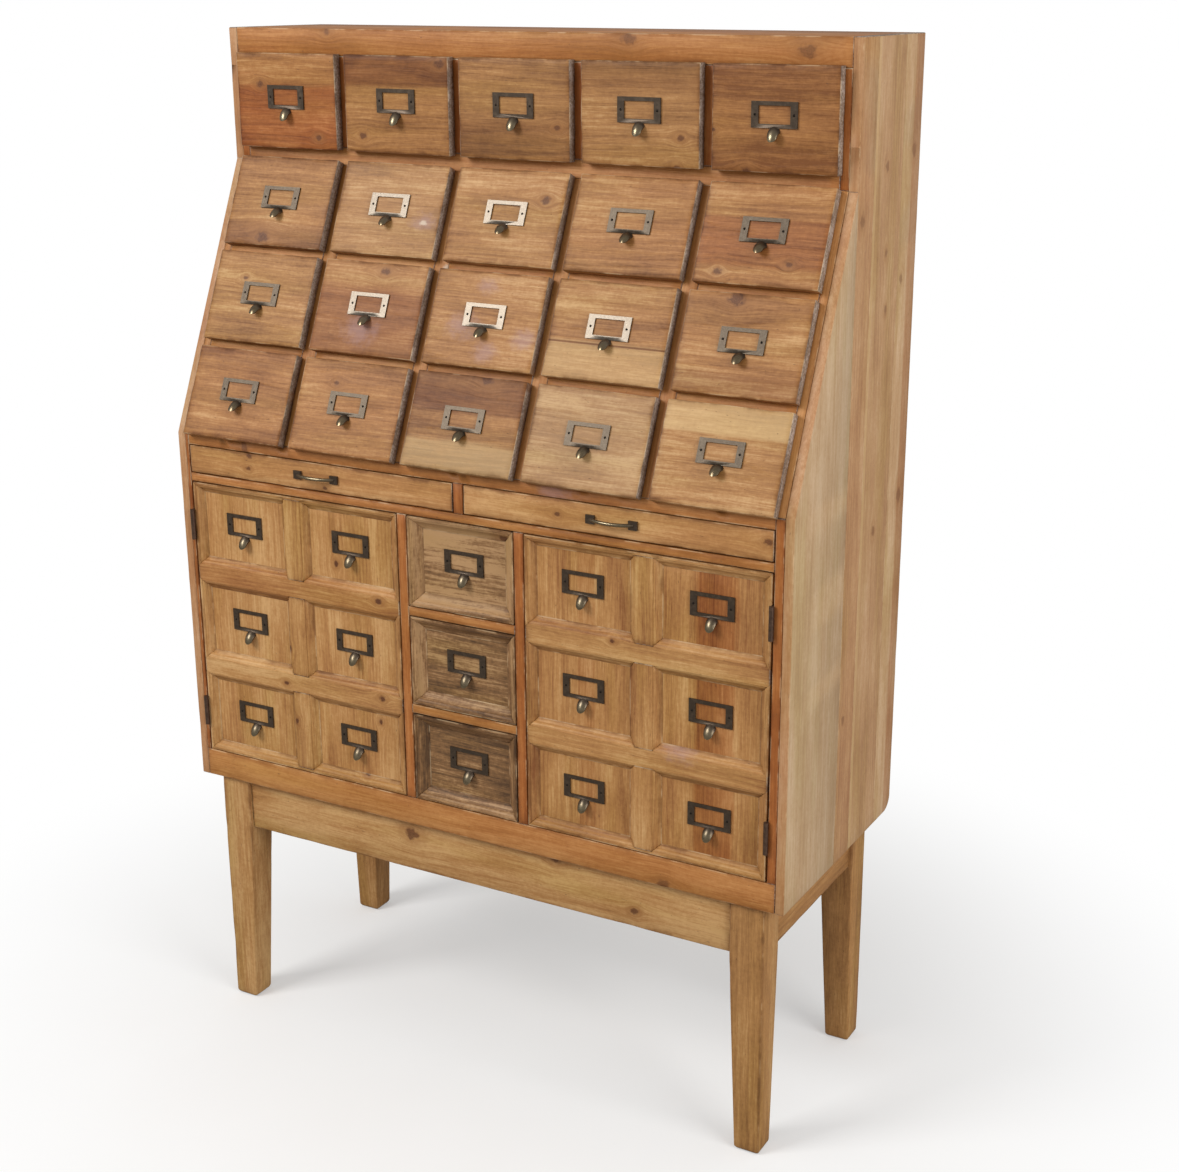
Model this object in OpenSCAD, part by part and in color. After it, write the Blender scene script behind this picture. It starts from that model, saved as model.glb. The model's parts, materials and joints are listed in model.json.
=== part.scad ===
// Apothecary cabinet in reclaimed pine, on a four-legged stand. Twenty small overlay drawers
// sit in five columns, on a front that is upright at the top and slopes below. Under them are
// two shallow drawers, then three moulded centre drawers between two panelled doors.
// Millimetres, Z up. The origin is on the floor, under the middle of the whole cabinet.
// X runs along the front to the right, and Y runs from the front to the back.

/* [Case] */
// Width over both side panels
case_w = 900; // [820:5:1000]
// Depth of the side panels
case_d = 356; // [330:2:420]
// Height of the upright lower front
lower_h = 496; // [470:2:560]
// Height of the sloping part of the front
slope_h = 349; // [320:1:400]
// How far the slope leans back over its height
slope_run = 156; // [120:1:170]
// Thickness of the side panels
panel_t = 12; // [10:0.5:16]
// Width of the second board of a side panel, behind the slope
board_2_w = 49; // [40:1:60]
// Width of the third board of a side panel
board_3_w = 90; // [70:1:100]
// Radius of the worn lower back corner of a side panel
corner_r = 20; // [8:1:28]
// Thickness of the top board and of the bottom board
deck_t = 14; // [10:1:20]
// Thickness of the boards of the back
back_t = 8; // [6:0.5:12]
// How far the back boards lie inside the rear edges
back_inset = 2; // [1:0.5:6]
// Thickness of the shelves under the drawer rows
shelf_t = 10; // [8:0.5:12]
// Thickness of the upright boards between the small drawers
partition_t = 18; // [14:0.5:20]

/* [Face frame] */
// Thickness of the face frame
frame_t = 18; // [15:0.5:22]
// Height of the rail under the doors
bottom_rail_h = 39; // [34:1:60]
// Height of the rail over the doors
door_rail_h = 11; // [9:0.5:16]
// Height of the opening for the shallow drawers
shallow_h = 40; // [34:1:50]
// Height of the rail over the shallow drawers, up to the foot of the slope
upper_rail_h = 14; // [12:0.5:24]
// Width of the outer stiles beside the doors
edge_stile_w = 8.5; // [8:0.5:14]
// Width of the stiles between the doors and the centre drawers
mid_stile_w = 13.5; // [12:0.5:18]
// How far the doors, the centre drawers and the shallow drawers lie right of the middle
lower_shift = -3; // [-3:0.5:3]
// Height of the rails between the centre drawers
mid_rail_h = 12; // [10:0.5:16]
// Rise from the top of the slope to the top row of fronts
top_sill_h = 17; // [12:1:24]
// Height of the rail above the top row of fronts
top_rail_h = 31; // [24:1:50]

/* [Small drawers] */
// Thickness of a drawer front
front_t = 13.5; // [11:0.5:15]
// Gap between two rows of fronts, along the slope
row_gap = 9.5; // [8.5:0.5:14]
// Gap between two columns of fronts
col_gap = 15; // [12:0.5:20]
// Width of case that shows beside the outer fronts
side_reveal = 20; // [18:0.5:26]
// How far the lowest sloping front hangs below the foot of the slope
front_drop = 2; // [0:0.5:2.5]
// How far a front covers the face frame on each side
overlay = 3; // [2:0.5:4]
// Thickness of the sides and the back of a drawer box
side_t = 8; // [6:0.5:10]
// Thickness of the bottom of a drawer box
bottom_t = 5; // [4:0.5:7]
// Space above a drawer box in its opening
head_space = 3; // [2:0.5:6]
// Space beside a drawer box in its opening
side_space = 1; // [0.5:0.25:1.5]
// Space between a drawer box and the back of the case
rear_space = 6; // [3:1:12]
// Length of a drawer box that stays in the case when it is pulled out
held_in = 40; // [30:5:70]

/* [Centre drawers and doors] */
// Gap around an inset front or door
inset_gap = 1.5; // [1:0.25:2.5]
// Thickness of the board behind a moulding
backing_t = 10; // [8:0.5:12]
// Depth of the mouldings on a door
door_moulding_d = 8; // [7:0.5:9]
// Depth of the mouldings around a centre drawer front
drawer_moulding_d = 11; // [9:0.5:12]
// Depth of the step at the outer edge of a moulding
moulding_step = 1; // [0.5:0.25:1.5]
// Radius of the round of a moulding
moulding_r = 5; // [3.5:0.5:5.5]
// Width of the bevel at the foot of a moulding
bevel_w = 4.2; // [3:0.2:5]
// Depth of the bevel at the foot of a moulding
bevel_d = 1.6; // [1:0.2:2.4]
// Width of the moulding around a centre drawer front, with its flat edge
drawer_moulding_w = 18; // [15:0.5:20]
// Width of the flat edge around a centre drawer front
drawer_flat_w = 3; // [2:0.5:4]
// Width of the moulded edge of a door member
door_moulding_w = 11; // [11:0.5:14]
// Width of the flat edge around a door
door_flat_w = 3.5; // [3:0.5:7]
// Width of the flat face of a door's inner bars
bar_flat_w = 24; // [16:1:26]
// Thickness of a shallow drawer's front
tray_front_t = 18; // [14:1:22]
// Height of a shallow drawer box
tray_h = 30; // [24:1:31]

/* [Label holders] */
// Width of a label holder
holder_w = 58; // [50:1:66]
// Height of a label holder
holder_h = 30; // [26:1:36]
// Thickness of its plate
holder_t = 1.6; // [1.2:0.1:2.5]
// Width of its side bars
holder_side = 9; // [7:0.5:11]
// Height of its upper and lower bars
holder_bar = 4.7; // [3.5:0.1:6]
// Radius of its finger cup, at the belly
cup_r = 9; // [8:0.25:9.5]
// Radius to which the side of the cup is bowed
cup_bow_r = 20; // [18:1:26]
// Distance of the belly from the tip, along the cup
cup_belly = 8; // [6:0.5:10]
// How far the cup leans outwards, in degrees
cup_lean = 24; // [18:1:28]
// How far the tip of the cup stands out from the front
cup_reach = 11; // [9:0.5:12]
// How far the cup hangs below the holder
cup_drop = 15; // [12:0.5:18]
// Thickness of the cup's shell
cup_t = 1.4; // [1:0.1:2]
// Radius of the cup's rounded tip, seen from the front
cup_tip_r = 6; // [4:0.25:7]
// Radius of the heads of the nails
nail_r = 1.5; // [1:0.1:2]
// Height of a nail's head
nail_head_h = 0.9; // [0.6:0.1:1.4]
// Height of a holder's middle above the middle of a small drawer's front
holder_rise = 5; // [0:0.5:9]
// Height of a holder's middle above the middle of a centre drawer or of a door's field
low_holder_rise = 5.5; // [0:0.5:8]

/* [Bow handles] */
// Length of a bow handle over its end plates
bow_w = 70; // [60:1:90]
// Width of an end plate
bow_plate_w = 12; // [10:0.5:14]
// Height of an end plate
bow_plate_h = 11; // [9:0.5:13]
// Thickness of an end plate
bow_plate_t = 2.5; // [1.5:0.1:3]
// Radius of the bow's bar
bow_bar_r = 2.3; // [1.8:0.1:3]
// How far the bow stands out from the front
bow_reach = 12; // [11.5:0.5:20]

/* [Hinges] */
// Height of a hinge
hinge_h = 42; // [34:1:50]
// Radius of a hinge barrel
barrel_r = 3; // [2.5:0.1:3.4]
// Radius of a hinge pin
pin_r = 1.3; // [1:0.1:1.5]
// Distance of a hinge barrel in front of the case
barrel_gap = 0.4; // [0.3:0.1:1]
// Thickness of a hinge leaf
leaf_t = 1; // [0.8:0.1:1.2]
// Width of a hinge leaf inside the joint
leaf_w = 13; // [10:0.5:14]
// Distance from the end of a door to the middle of its hinge
hinge_inset = 59; // [45:1:80]
// Running clearance inside a hinge
hinge_play = 0.3; // [0.2:0.05:0.4]
// Clearance around a pin in the fixed knuckles
pin_fit = 0.1; // [0.05:0.05:0.2]

/* [Stand] */
// Height of the legs
leg_h = 350; // [300:5:420]
// Width of a leg at the apron
leg_w = 47; // [42:1:56]
// Width of a leg at the floor
foot_w = 35; // [28:1:40]
// Distance of the legs from the sides of the case
leg_inset_x = 28.5; // [20:0.5:40]
// Distance of the front legs from the front of the case
leg_inset_front = 7.5; // [4:0.5:16]
// Distance of the rear legs from the back of the case
leg_inset_back = 11; // [5:0.5:20]
// Chamfer around the foot of a leg
foot_chamfer = 3; // [1:0.5:5]
// Height of the aprons
apron_h = 74; // [60:1:95]
// Thickness of the aprons
apron_t = 20; // [16:1:26]
// How far the aprons lie behind the faces of the legs
apron_inset = 5; // [2:0.5:10]

/* [Hidden] */
// Smoothness of the round shapes
$fn = 48;
// Columns of small drawers, and rows from the upright top row down
cols = 5;
rows = 4;
// Hairline between two boards that meet
seam = 0.15;
// Clearance under a drawer box, and behind an overlay front
run_gap = 0.3;
// Extra length of a cutting shape
cut = 1;
// Number of boards in the back
back_boards = 6;

// Levels of the case above the floor
door_z0 = leg_h + bottom_rail_h;
shallow_z1 = leg_h + lower_h - upper_rail_h;
shallow_z0 = shallow_z1 - shallow_h;
door_z1 = shallow_z0 - door_rail_h;
slope_z0 = leg_h + lower_h;
slope_z1 = slope_z0 + slope_h;

// The slope: its angle from the vertical, its length and the frame's thickness along Y
slope_a = atan2(slope_run, slope_h);
slope_len = norm([slope_run, slope_h]);
slope_frame_d = frame_t / cos(slope_a);

// Fronts of the small drawers
front_w = (case_w - 2 * side_reveal - (cols - 1) * col_gap) / cols;
front_h = (slope_len + front_drop - (rows - 2) * row_gap) / (rows - 1);
top_front_z = slope_z1 + top_sill_h;
case_top = top_front_z + front_h + top_rail_h;
inner_w = case_w - 2 * panel_t;

// Depth of the case: the front plane, the back of the shelves and the back of the drawers
front_reach = max(bow_reach, (front_t + run_gap) * cos(slope_a) + front_drop * sin(slope_a));
front_y = (front_reach - case_d) / 2;
shelf_y1 = case_d - back_inset - back_t;
box_y1 = shelf_y1 - rear_space;

// Openings beside and between the centre drawers
centre_w = front_w;
stile_x = centre_w / 2 + mid_stile_w;
door_open_w = inner_w / 2 - edge_stile_w - stile_x;
centre_h = (door_z1 - door_z0 - 2 * mid_rail_h) / 3;
tray_open_w = (inner_w - 2 * edge_stile_w - mid_stile_w) / 2;

// Hinges: the leaves fill the joint beside the door, and the barrel stands in front
hinge_gap = 2 * leaf_t + hinge_play + seam;
door_w = door_open_w - hinge_gap - inset_gap;
door_h = door_z1 - door_z0 - 2 * inset_gap;
barrel_y = -barrel_r - barrel_gap;
knuckle_h = (hinge_h - 2 * hinge_play) / 3;

// Depth of the sloping plane behind the front plane at height z
function slope_y(z) = (z - slope_z0) * slope_run / slope_h;
// Middle of a column of small drawers
function col_x(c) = (c - (cols + 1) / 2) * (front_w + col_gap);
// Distance up the slope to the lower edge of the fronts of a sloping row
function row_s(r) = (rows - r) * (front_h + row_gap) - front_drop;
// Lower and upper edge of a row's openings in the face frame
function open_z0(r) = r == 1 ? top_front_z + overlay : slope_z0 + (row_s(r) + overlay) * cos(slope_a);
function open_z1(r) = r == 1 ? top_front_z + front_h - overlay
    : slope_z0 + (row_s(r) + front_h - overlay) * cos(slope_a);
// Front of the face frame at a row and a height, and its back
function face_y(r, z) = r == 1 ? slope_run : slope_y(z);
function frame_y(r, z) = face_y(r, z) + (r == 1 ? frame_t : slope_frame_d);
// Height and travel of the drawer boxes of a row
function box_h(r) = open_z1(r) - open_z0(r) - run_gap - head_space;
function travel(r) = box_y1 - face_y(r, open_z0(r) + run_gap + box_h(r)) - held_in;
// Middle of a hinge's pin on the left (-1) or the right (1)
function hinge_x(side) = lower_shift + side * (inner_w / 2 - edge_stile_w - leaf_t - hinge_play / 2);
// Lower edge of a centre drawer's opening, counted from the top
function centre_z(i) = door_z0 + (2 - i) * (centre_h + mid_rail_h);

// Puts shapes drawn from the front plane at their depth
module from_front() {
    translate([0, front_y, 0]) children();
}

// A board between two corners, less half a hairline on the sides that meet other boards
module board(a, b) {
    translate([a[0] + seam / 2, a[1], a[2] + seam / 2])
        cube([b[0] - a[0] - seam, b[1] - a[1], b[2] - a[2] - seam]);
}

// An outline in Y and Z, drawn out along X
module along_x(x0, x1, outline) {
    translate([x0, 0, 0])
        rotate([90, 0, 90])
            linear_extrude(x1 - x0)
                polygon(outline);
}

// A member of the sloping face frame between two heights
module slope_member(x0, x1, z0, z1) {
    a = z0 + seam / 2;
    b = z1 - seam / 2;
    along_x(x0 + seam / 2, x1 - seam / 2, [
        [slope_y(a), a], [slope_y(b), b],
        [slope_y(b) + slope_frame_d, b], [slope_y(a) + slope_frame_d, a]
    ]);
}

// An upright board from behind the face frame of a row to the back, between two heights
module board_behind(r, x0, x1, z0, z1) {
    a = z0 + seam / 2;
    b = z1 - seam / 2;
    y1 = shelf_y1 - seam;
    along_x(x0 + seam / 2, x1 - seam / 2, [
        [frame_y(r, a) + seam, a], [frame_y(r, b) + seam, b], [y1, b], [y1, a]
    ]);
}

// Both side panels, each glued up from four upright boards
module side_panels() {
    color("#b08c67") from_front() for (side = [-1, 1])
        translate([side < 0 ? -case_w / 2 : case_w / 2 - panel_t, 0, 0]) side_panel();
}

module side_panel() {
    seam_2 = slope_run + board_2_w;
    seam_3 = seam_2 + board_3_w;
    along_x(0, panel_t, [
        [0, leg_h], [0, slope_z0], [slope_run - seam, slope_z1], [slope_run - seam, leg_h]
    ]);
    translate([0, slope_run, leg_h]) cube([panel_t, board_2_w - seam, case_top - leg_h]);
    translate([0, seam_2, leg_h]) cube([panel_t, board_3_w - seam, case_top - leg_h]);
    difference() {
        translate([0, seam_3, leg_h]) cube([panel_t, case_d - seam_3, case_top - leg_h]);
        difference() {
            translate([-cut, case_d - corner_r, leg_h - cut])
                cube([panel_t + 2 * cut, corner_r + cut, corner_r + cut]);
            translate([-2 * cut, case_d - corner_r, leg_h + corner_r])
                rotate([0, 90, 0])
                    cylinder(r = corner_r, h = panel_t + 4 * cut);
        }
    }
}

// Every inner board of the case
module carcass_boards() {
    color("#c09a6b") from_front() {
        decks();
        back_wall();
        row_shelves();
        row_partitions();
        lower_boards();
    }
}

module decks() {
    half = inner_w / 2;
    board([-half, slope_run + frame_t + seam, case_top - deck_t], [half, shelf_y1 - seam, case_top]);
    board([-half, frame_t + seam, leg_h], [half, shelf_y1 - seam, leg_h + deck_t]);
}

module back_wall() {
    w = inner_w / back_boards;
    for (i = [0 : back_boards - 1]) {
        x = -inner_w / 2 + i * w;
        board([x, shelf_y1, leg_h], [x + w, shelf_y1 + back_t, case_top]);
    }
}

// One shelf under each row of small drawers
module row_shelves() {
    half = inner_w / 2;
    for (r = [1 : rows]) {
        z = open_z0(r);
        board([-half, frame_y(r, z) + seam, z - shelf_t], [half, shelf_y1 - seam, z]);
    }
}

// Upright boards between the columns, from each shelf to the next one above
module row_partitions() {
    for (r = [1 : rows]) {
        z1 = r == 1 ? case_top - deck_t : open_z0(r - 1) - shelf_t;
        for (c = [1 : cols - 1]) {
            x = (col_x(c) + col_x(c + 1)) / 2;
            board_behind(r, x - partition_t / 2, x + partition_t / 2, open_z0(r), z1);
        }
    }
}

// Boards around the shallow drawers, the doors and the centre drawers
module lower_boards() {
    half = inner_w / 2;
    y0 = frame_t + seam;
    y1 = shelf_y1 - seam;
    board([-half, y0, shallow_z0 - door_rail_h], [half, y1, shallow_z0]);
    translate([lower_shift, 0, 0]) {
        board([-mid_stile_w / 2, y0, shallow_z0], [mid_stile_w / 2, y1, open_z0(rows) - shelf_t]);
        for (side = [-1, 1]) {
            x = side * (stile_x - mid_stile_w / 2);
            board([x - mid_stile_w / 2, y0, leg_h + deck_t],
                [x + mid_stile_w / 2, y1, shallow_z0 - door_rail_h]);
        }
        for (i = [0 : 2])
            board([-centre_w / 2, y0, centre_z(i) - mid_rail_h], [centre_w / 2, y1, centre_z(i)]);
    }
}

// Rails and stiles around every drawer and door
module face_frame() {
    color("#b86c37") from_front() {
        lower_frame();
        slope_frame();
        top_frame();
    }
}

module lower_frame() {
    half = inner_w / 2;
    left = lower_shift - half + edge_stile_w;
    right = lower_shift + half - edge_stile_w;
    board([-half, 0, leg_h], [half, frame_t, door_z0]);
    board([-half, 0, door_z0], [left, frame_t, slope_z0]);
    board([right, 0, door_z0], [half, frame_t, slope_z0]);
    board([left, 0, door_z1], [right, frame_t, shallow_z0]);
    translate([lower_shift, 0, 0]) {
        board([-mid_stile_w / 2, 0, shallow_z0], [mid_stile_w / 2, frame_t, shallow_z1]);
        for (side = [-1, 1]) {
            mid = side * (stile_x - mid_stile_w / 2);
            board([mid - mid_stile_w / 2, 0, door_z0], [mid + mid_stile_w / 2, frame_t, door_z1]);
        }
        for (i = [0 : 1])
            board([-centre_w / 2, 0, centre_z(i) - mid_rail_h], [centre_w / 2, frame_t, centre_z(i)]);
    }
    foot_rail(left + seam / 2, right - seam / 2);
}

// Rail between the shallow drawers and the slope, which leans back above the foot of the slope
module foot_rail(left, right) {
    inside = case_w / 2 - side_reveal - overlay - seam / 2;
    z0 = shallow_z1 + seam / 2;
    z1 = open_z0(rows) - seam / 2;
    along_x(left, right, [[0, z0], [0, slope_z0], [frame_t, slope_z0], [frame_t, z0]]);
    along_x(-inside, inside, [[0, slope_z0], [slope_y(z1), z1], [frame_t, z1], [frame_t, slope_z0]]);
}

module slope_frame() {
    half = inner_w / 2;
    edge_w = side_reveal + overlay - panel_t;
    stile_w = col_gap + 2 * overlay;
    for (side = [-1, 1]) {
        x = side * (half - edge_w / 2);
        slope_member(x - edge_w / 2, x + edge_w / 2, slope_z0 + seam, slope_z1);
    }
    for (c = [1 : cols - 1]) {
        x = (col_x(c) + col_x(c + 1)) / 2;
        slope_member(x - stile_w / 2, x + stile_w / 2, open_z0(rows), open_z1(2));
    }
    for (r = [3 : rows])
        for (c = [1 : cols])
            slope_member(col_x(c) - front_w / 2 + overlay, col_x(c) + front_w / 2 - overlay,
                open_z1(r), open_z0(r - 1));
}

module top_frame() {
    half = inner_w / 2;
    edge_w = side_reveal + overlay - panel_t;
    stile_w = col_gap + 2 * overlay;
    y1 = slope_run + frame_t;
    inside = half - edge_w;
    z0 = open_z1(2) + seam / 2;
    z1 = open_z0(1) - seam / 2;
    along_x(-inside + seam / 2, inside - seam / 2, [
        [slope_y(z0), z0], [slope_run, slope_z1], [slope_run, z1], [y1, z1], [slope_y(z0) + frame_t, z0]
    ]);
    for (side = [-1, 1]) {
        x = side * (half - edge_w / 2);
        board([x - edge_w / 2, slope_run, slope_z1], [x + edge_w / 2, y1, open_z1(1)]);
    }
    for (c = [1 : cols - 1]) {
        x = (col_x(c) + col_x(c + 1)) / 2;
        board([x - stile_w / 2, slope_run, open_z0(1)], [x + stile_w / 2, y1, open_z1(1)]);
    }
    board([-half, slope_run, open_z1(1)], [half, y1, case_top]);
}

// Stands shapes on the lower edge of a row's front, leaning with it, outwards along -Y
module on_front(r, c) {
    from_front() translate([col_x(c), 0, 0]) {
        if (r == 1)
            translate([0, slope_run, top_front_z]) children();
        else
            translate([0, 0, slope_z0])
                rotate([-slope_a, 0, 0])
                    translate([0, 0, row_s(r)]) children();
    }
}

// A small drawer: a board front laid over the frame, and a box of four boards behind it
module small_drawer(r, c) {
    box_w = front_w - 2 * overlay - 2 * side_space;
    z0 = open_z0(r) + run_gap;
    z1 = z0 + box_h(r);
    lap = -run_gap / cos(r == 1 ? 0 : slope_a) + seam;
    color("#b07d4d") {
        on_front(r, c)
            translate([-front_w / 2, -front_t - run_gap, 0])
                cube([front_w, front_t, front_h]);
        from_front() translate([col_x(c), 0, 0]) {
            for (side = [-1, 1]) {
                x = side * (box_w - side_t) / 2;
                along_x(x - side_t / 2, x + side_t / 2, [
                    [face_y(r, z0) + lap, z0], [face_y(r, z1) + lap, z1], [box_y1, z1], [box_y1, z0]
                ]);
            }
            translate([-box_w / 2 + side_t + seam, box_y1 - side_t, z0])
                cube([box_w - 2 * side_t - 2 * seam, side_t, z1 - z0]);
            along_x(-box_w / 2 + side_t + seam, box_w / 2 - side_t - seam, [
                [face_y(r, z0) + lap, z0],
                [face_y(r, z0 + bottom_t) + lap, z0 + bottom_t],
                [box_y1 - side_t - seam, z0 + bottom_t],
                [box_y1 - side_t - seam, z0]
            ]);
        }
    }
}

// The label holder with its finger cup, flat against a front at y = 0
module label_holder() {
    window_w = holder_w - 2 * holder_side;
    window_h = holder_h - 2 * holder_bar;
    tip_z = -holder_h / 2 - cup_drop;
    color("#4a4138") {
        difference() {
            translate([-holder_w / 2, -holder_t, -holder_h / 2])
                cube([holder_w, holder_t, holder_h]);
            translate([-window_w / 2, -holder_t - cut, -window_h / 2])
                cube([window_w, holder_t + 2 * cut, window_h]);
        }
        translate([0, 0, tip_z]) finger_cup(cup_drop + holder_bar - seam);
        for (side = [-1, 1])
            translate([side * (holder_w - holder_side) / 2, -holder_t - seam, 0]) nail_head();
    }
}

// The domed head of a nail, cut from a larger sphere
module nail_head() {
    dome_r = (nail_r * nail_r + nail_head_h * nail_head_h) / (2 * nail_head_h);
    intersection() {
        translate([0, dome_r - nail_head_h, 0]) sphere(r = dome_r);
        translate([-dome_r, -nail_head_h - cut, -dome_r])
            cube([2 * dome_r, nail_head_h + cut, 2 * dome_r]);
    }
}

// A bowed cup, h high, that leans outwards. Only what lies before the front at y = 0 is
// there, and seen from the front it is cut to a round tip
module finger_cup(h) {
    lip_r = cup_r - cup_bow_r + sqrt(cup_bow_r * cup_bow_r - cup_belly * cup_belly);
    intersection() {
        translate([0, lip_r * cos(cup_lean) - cup_reach, -lip_r * sin(cup_lean)])
            rotate([-cup_lean, 0, 0])
                translate([0, 0, cup_belly])
                    rotate_extrude()
                        difference() {
                            bowed_section(cup_r, cup_bow_r);
                            bowed_section(cup_r - cup_t, cup_bow_r - cup_t);
                        }
        rotate([90, 0, 0])
            linear_extrude(3 * cup_r)
                union() {
                    translate([0, cup_tip_r]) circle(r = cup_tip_r);
                    polygon([[-cup_tip_r, cup_tip_r], [cup_tip_r, cup_tip_r], [cup_r, h], [-cup_r, h]]);
                }
    }
}

// Half the section of a bowed solid of radius r, its side an arc about its middle
module bowed_section(r, bow_r) {
    intersection() {
        translate([r - bow_r, 0]) circle(r = bow_r);
        translate([0, -bow_r]) square([r, 2 * bow_r]);
    }
}

module small_pull(r, c) {
    on_front(r, c)
        translate([0, -front_t - run_gap - seam, front_h / 2 + holder_rise]) label_holder();
}

// Hollow inside a moulded frame w wide and h high, sunk d deep, with round moulded edges.
// It is drawn from the middle of its face, which lies at y = 0
module moulded_hollow(w, h, m, d) {
    intersection() {
        translate([0, 0, -h / 2 - cut])
            linear_extrude(h + 2 * cut)
                hollow_section(w, m, d);
        rotate([0, 90, 0])
            translate([0, 0, -w / 2 - cut])
                linear_extrude(w + 2 * cut)
                    hollow_section(h, m, d);
    }
}

// Section of the hollow across its width: a small step, a round and a bevel down to the panel
module hollow_section(w, m, d) {
    bevel_x = w / 2 - m + bevel_w;
    difference() {
        polygon([
            [-w / 2, -cut], [w / 2, -cut], [w / 2, moulding_step], [bevel_x, d - bevel_d],
            [w / 2 - m, d], [-w / 2 + m, d], [-bevel_x, d - bevel_d], [-w / 2, moulding_step]
        ]);
        for (side = [-1, 1])
            translate([side * w / 2, moulding_step + moulding_r]) circle(r = moulding_r);
    }
}

// Mitred picture-frame moulding around a centre drawer, as four strips
module mitred_moulding(w, h, m, d) {
    for (turn = [0 : 3]) {
        half = (turn % 2 == 0 ? [w, h] : [h, w]) / 2;
        outer_x = half[0] + cut - seam;
        inner_x = half[0] - m - cut - seam;
        intersection() {
            difference() {
                translate([-w / 2, 0, -h / 2]) cube([w, d - seam, h]);
                moulded_hollow(w - 2 * drawer_flat_w, h - 2 * drawer_flat_w, m - drawer_flat_w, d);
            }
            rotate([90, turn * 90, 0])
                translate([0, 0, -d - cut])
                    linear_extrude(d + 2 * cut)
                        polygon([
                            [-outer_x, half[1] + cut], [outer_x, half[1] + cut],
                            [inner_x, half[1] - m - cut], [-inner_x, half[1] - m - cut]
                        ]);
        }
    }
}

// An open drawer box behind an inset front of thickness t, to the back of the case
module inset_box(w, h, z0, t) {
    y0 = t + seam;
    for (side = [-1, 1]) {
        x = side * (w - side_t) / 2;
        translate([x - side_t / 2, y0, z0]) cube([side_t, box_y1 - y0, h]);
    }
    translate([-w / 2 + side_t + seam, box_y1 - side_t, z0])
        cube([w - 2 * side_t - 2 * seam, side_t, h]);
    translate([-w / 2 + side_t + seam, y0, z0])
        cube([w - 2 * side_t - 2 * seam, box_y1 - side_t - seam - y0, bottom_t]);
}

// A centre drawer, counted from the top
module centre_drawer(i) {
    w = centre_w - 2 * inset_gap;
    h = centre_h - 2 * inset_gap;
    z = centre_z(i);
    color("#82603f") from_front() translate([lower_shift, 0, 0]) {
        translate([0, 0, z + centre_h / 2]) {
            mitred_moulding(w, h, drawer_moulding_w, drawer_moulding_d);
            translate([-w / 2, drawer_moulding_d, -h / 2]) cube([w, backing_t, h]);
        }
        inset_box(w, h - 2 * head_space, z + run_gap, drawer_moulding_d + backing_t);
    }
}

module centre_pull(i) {
    z = centre_z(i) + centre_h / 2 + low_holder_rise;
    from_front() translate([lower_shift, drawer_moulding_d - seam, z]) label_holder();
}

// Middle of a shallow drawer on the left (-1) or the right (1)
function tray_x(side) = lower_shift + side * (mid_stile_w + tray_open_w) / 2;

module shallow_drawer(side) {
    w = tray_open_w - 2 * inset_gap;
    color("#b8854f") from_front() translate([tray_x(side), 0, 0]) {
        translate([-w / 2, 0, shallow_z0 + inset_gap])
            cube([w, tray_front_t, shallow_h - 2 * inset_gap]);
        inset_box(w, tray_h, shallow_z0 + run_gap, tray_front_t);
    }
}

// Bow handle: two end plates and a round bar bent between them
module bow_handle(side) {
    span = (bow_w - bow_plate_w) / 2;
    rise = bow_reach - bow_bar_r - bow_plate_t / 2;
    bend_r = (span * span + rise * rise) / (2 * rise);
    half_a = asin(span / bend_r);
    color("#5a4a35") from_front()
        translate([tray_x(side), -seam, (shallow_z0 + shallow_z1) / 2]) {
            for (end = [-1, 1])
                translate([end * span - bow_plate_w / 2, -bow_plate_t, -bow_plate_h / 2])
                    cube([bow_plate_w, bow_plate_t, bow_plate_h]);
            difference() {
                translate([0, bend_r - rise - bow_plate_t / 2, 0])
                    rotate([0, 0, -90 - half_a])
                        rotate_extrude(angle = 2 * half_a)
                            translate([bend_r, 0]) circle(r = bow_bar_r);
                translate([-bow_w / 2, 0, -bow_plate_h / 2]) cube([bow_w, bow_reach, bow_plate_h]);
            }
        }
}

// Middle of a door on the left (-1) or the right (1), and its lower edge
function door_x(side) = lower_shift + side * (stile_x + inset_gap + door_w / 2);
door_mid_z = (door_z0 + door_z1) / 2;

// A door: a panel board with six sunk fields between moulded stiles, rails and bars
module door(side) {
    color("#b98b52") from_front() translate([door_x(side), 0, door_mid_z]) {
        translate([-door_w / 2, door_moulding_d, -door_h / 2]) cube([door_w, backing_t, door_h]);
        for (outline = door_members())
            intersection() {
                door_lattice();
                translate([0, door_moulding_d, 0])
                    rotate([90, 0, 0])
                        linear_extrude(door_moulding_d + cut)
                            offset(delta = -seam / 2) polygon(outline);
            }
    }
}

// Size of one sunk field with its mouldings, and the pitch of the fields
field_w = (door_w - 2 * door_flat_w - bar_flat_w) / 2;
field_h = (door_h - 2 * door_flat_w - 2 * bar_flat_w) / 3;

// The moulded members in one piece, before they are parted
module door_lattice() {
    difference() {
        translate([-door_w / 2, 0, -door_h / 2]) cube([door_w, door_moulding_d - seam, door_h]);
        for (i = [-1, 1], k = [-1 : 1])
            translate([i * (field_w + bar_flat_w) / 2, 0, k * (field_h + bar_flat_w)])
                moulded_hollow(field_w, field_h, door_moulding_w, door_moulding_d);
    }
}

// Corners of a short bar's end at height z, from right to left: mitred, then flat. It points up
// (1) or down (-1)
function notch(z, way, bar, flat) =
    [[bar, z], [flat, z + way * (bar - flat)], [-flat, z + way * (bar - flat)], [-bar, z]];

function reversed(list) = [for (i = [len(list) - 1 : -1 : 0]) list[i]];

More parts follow.
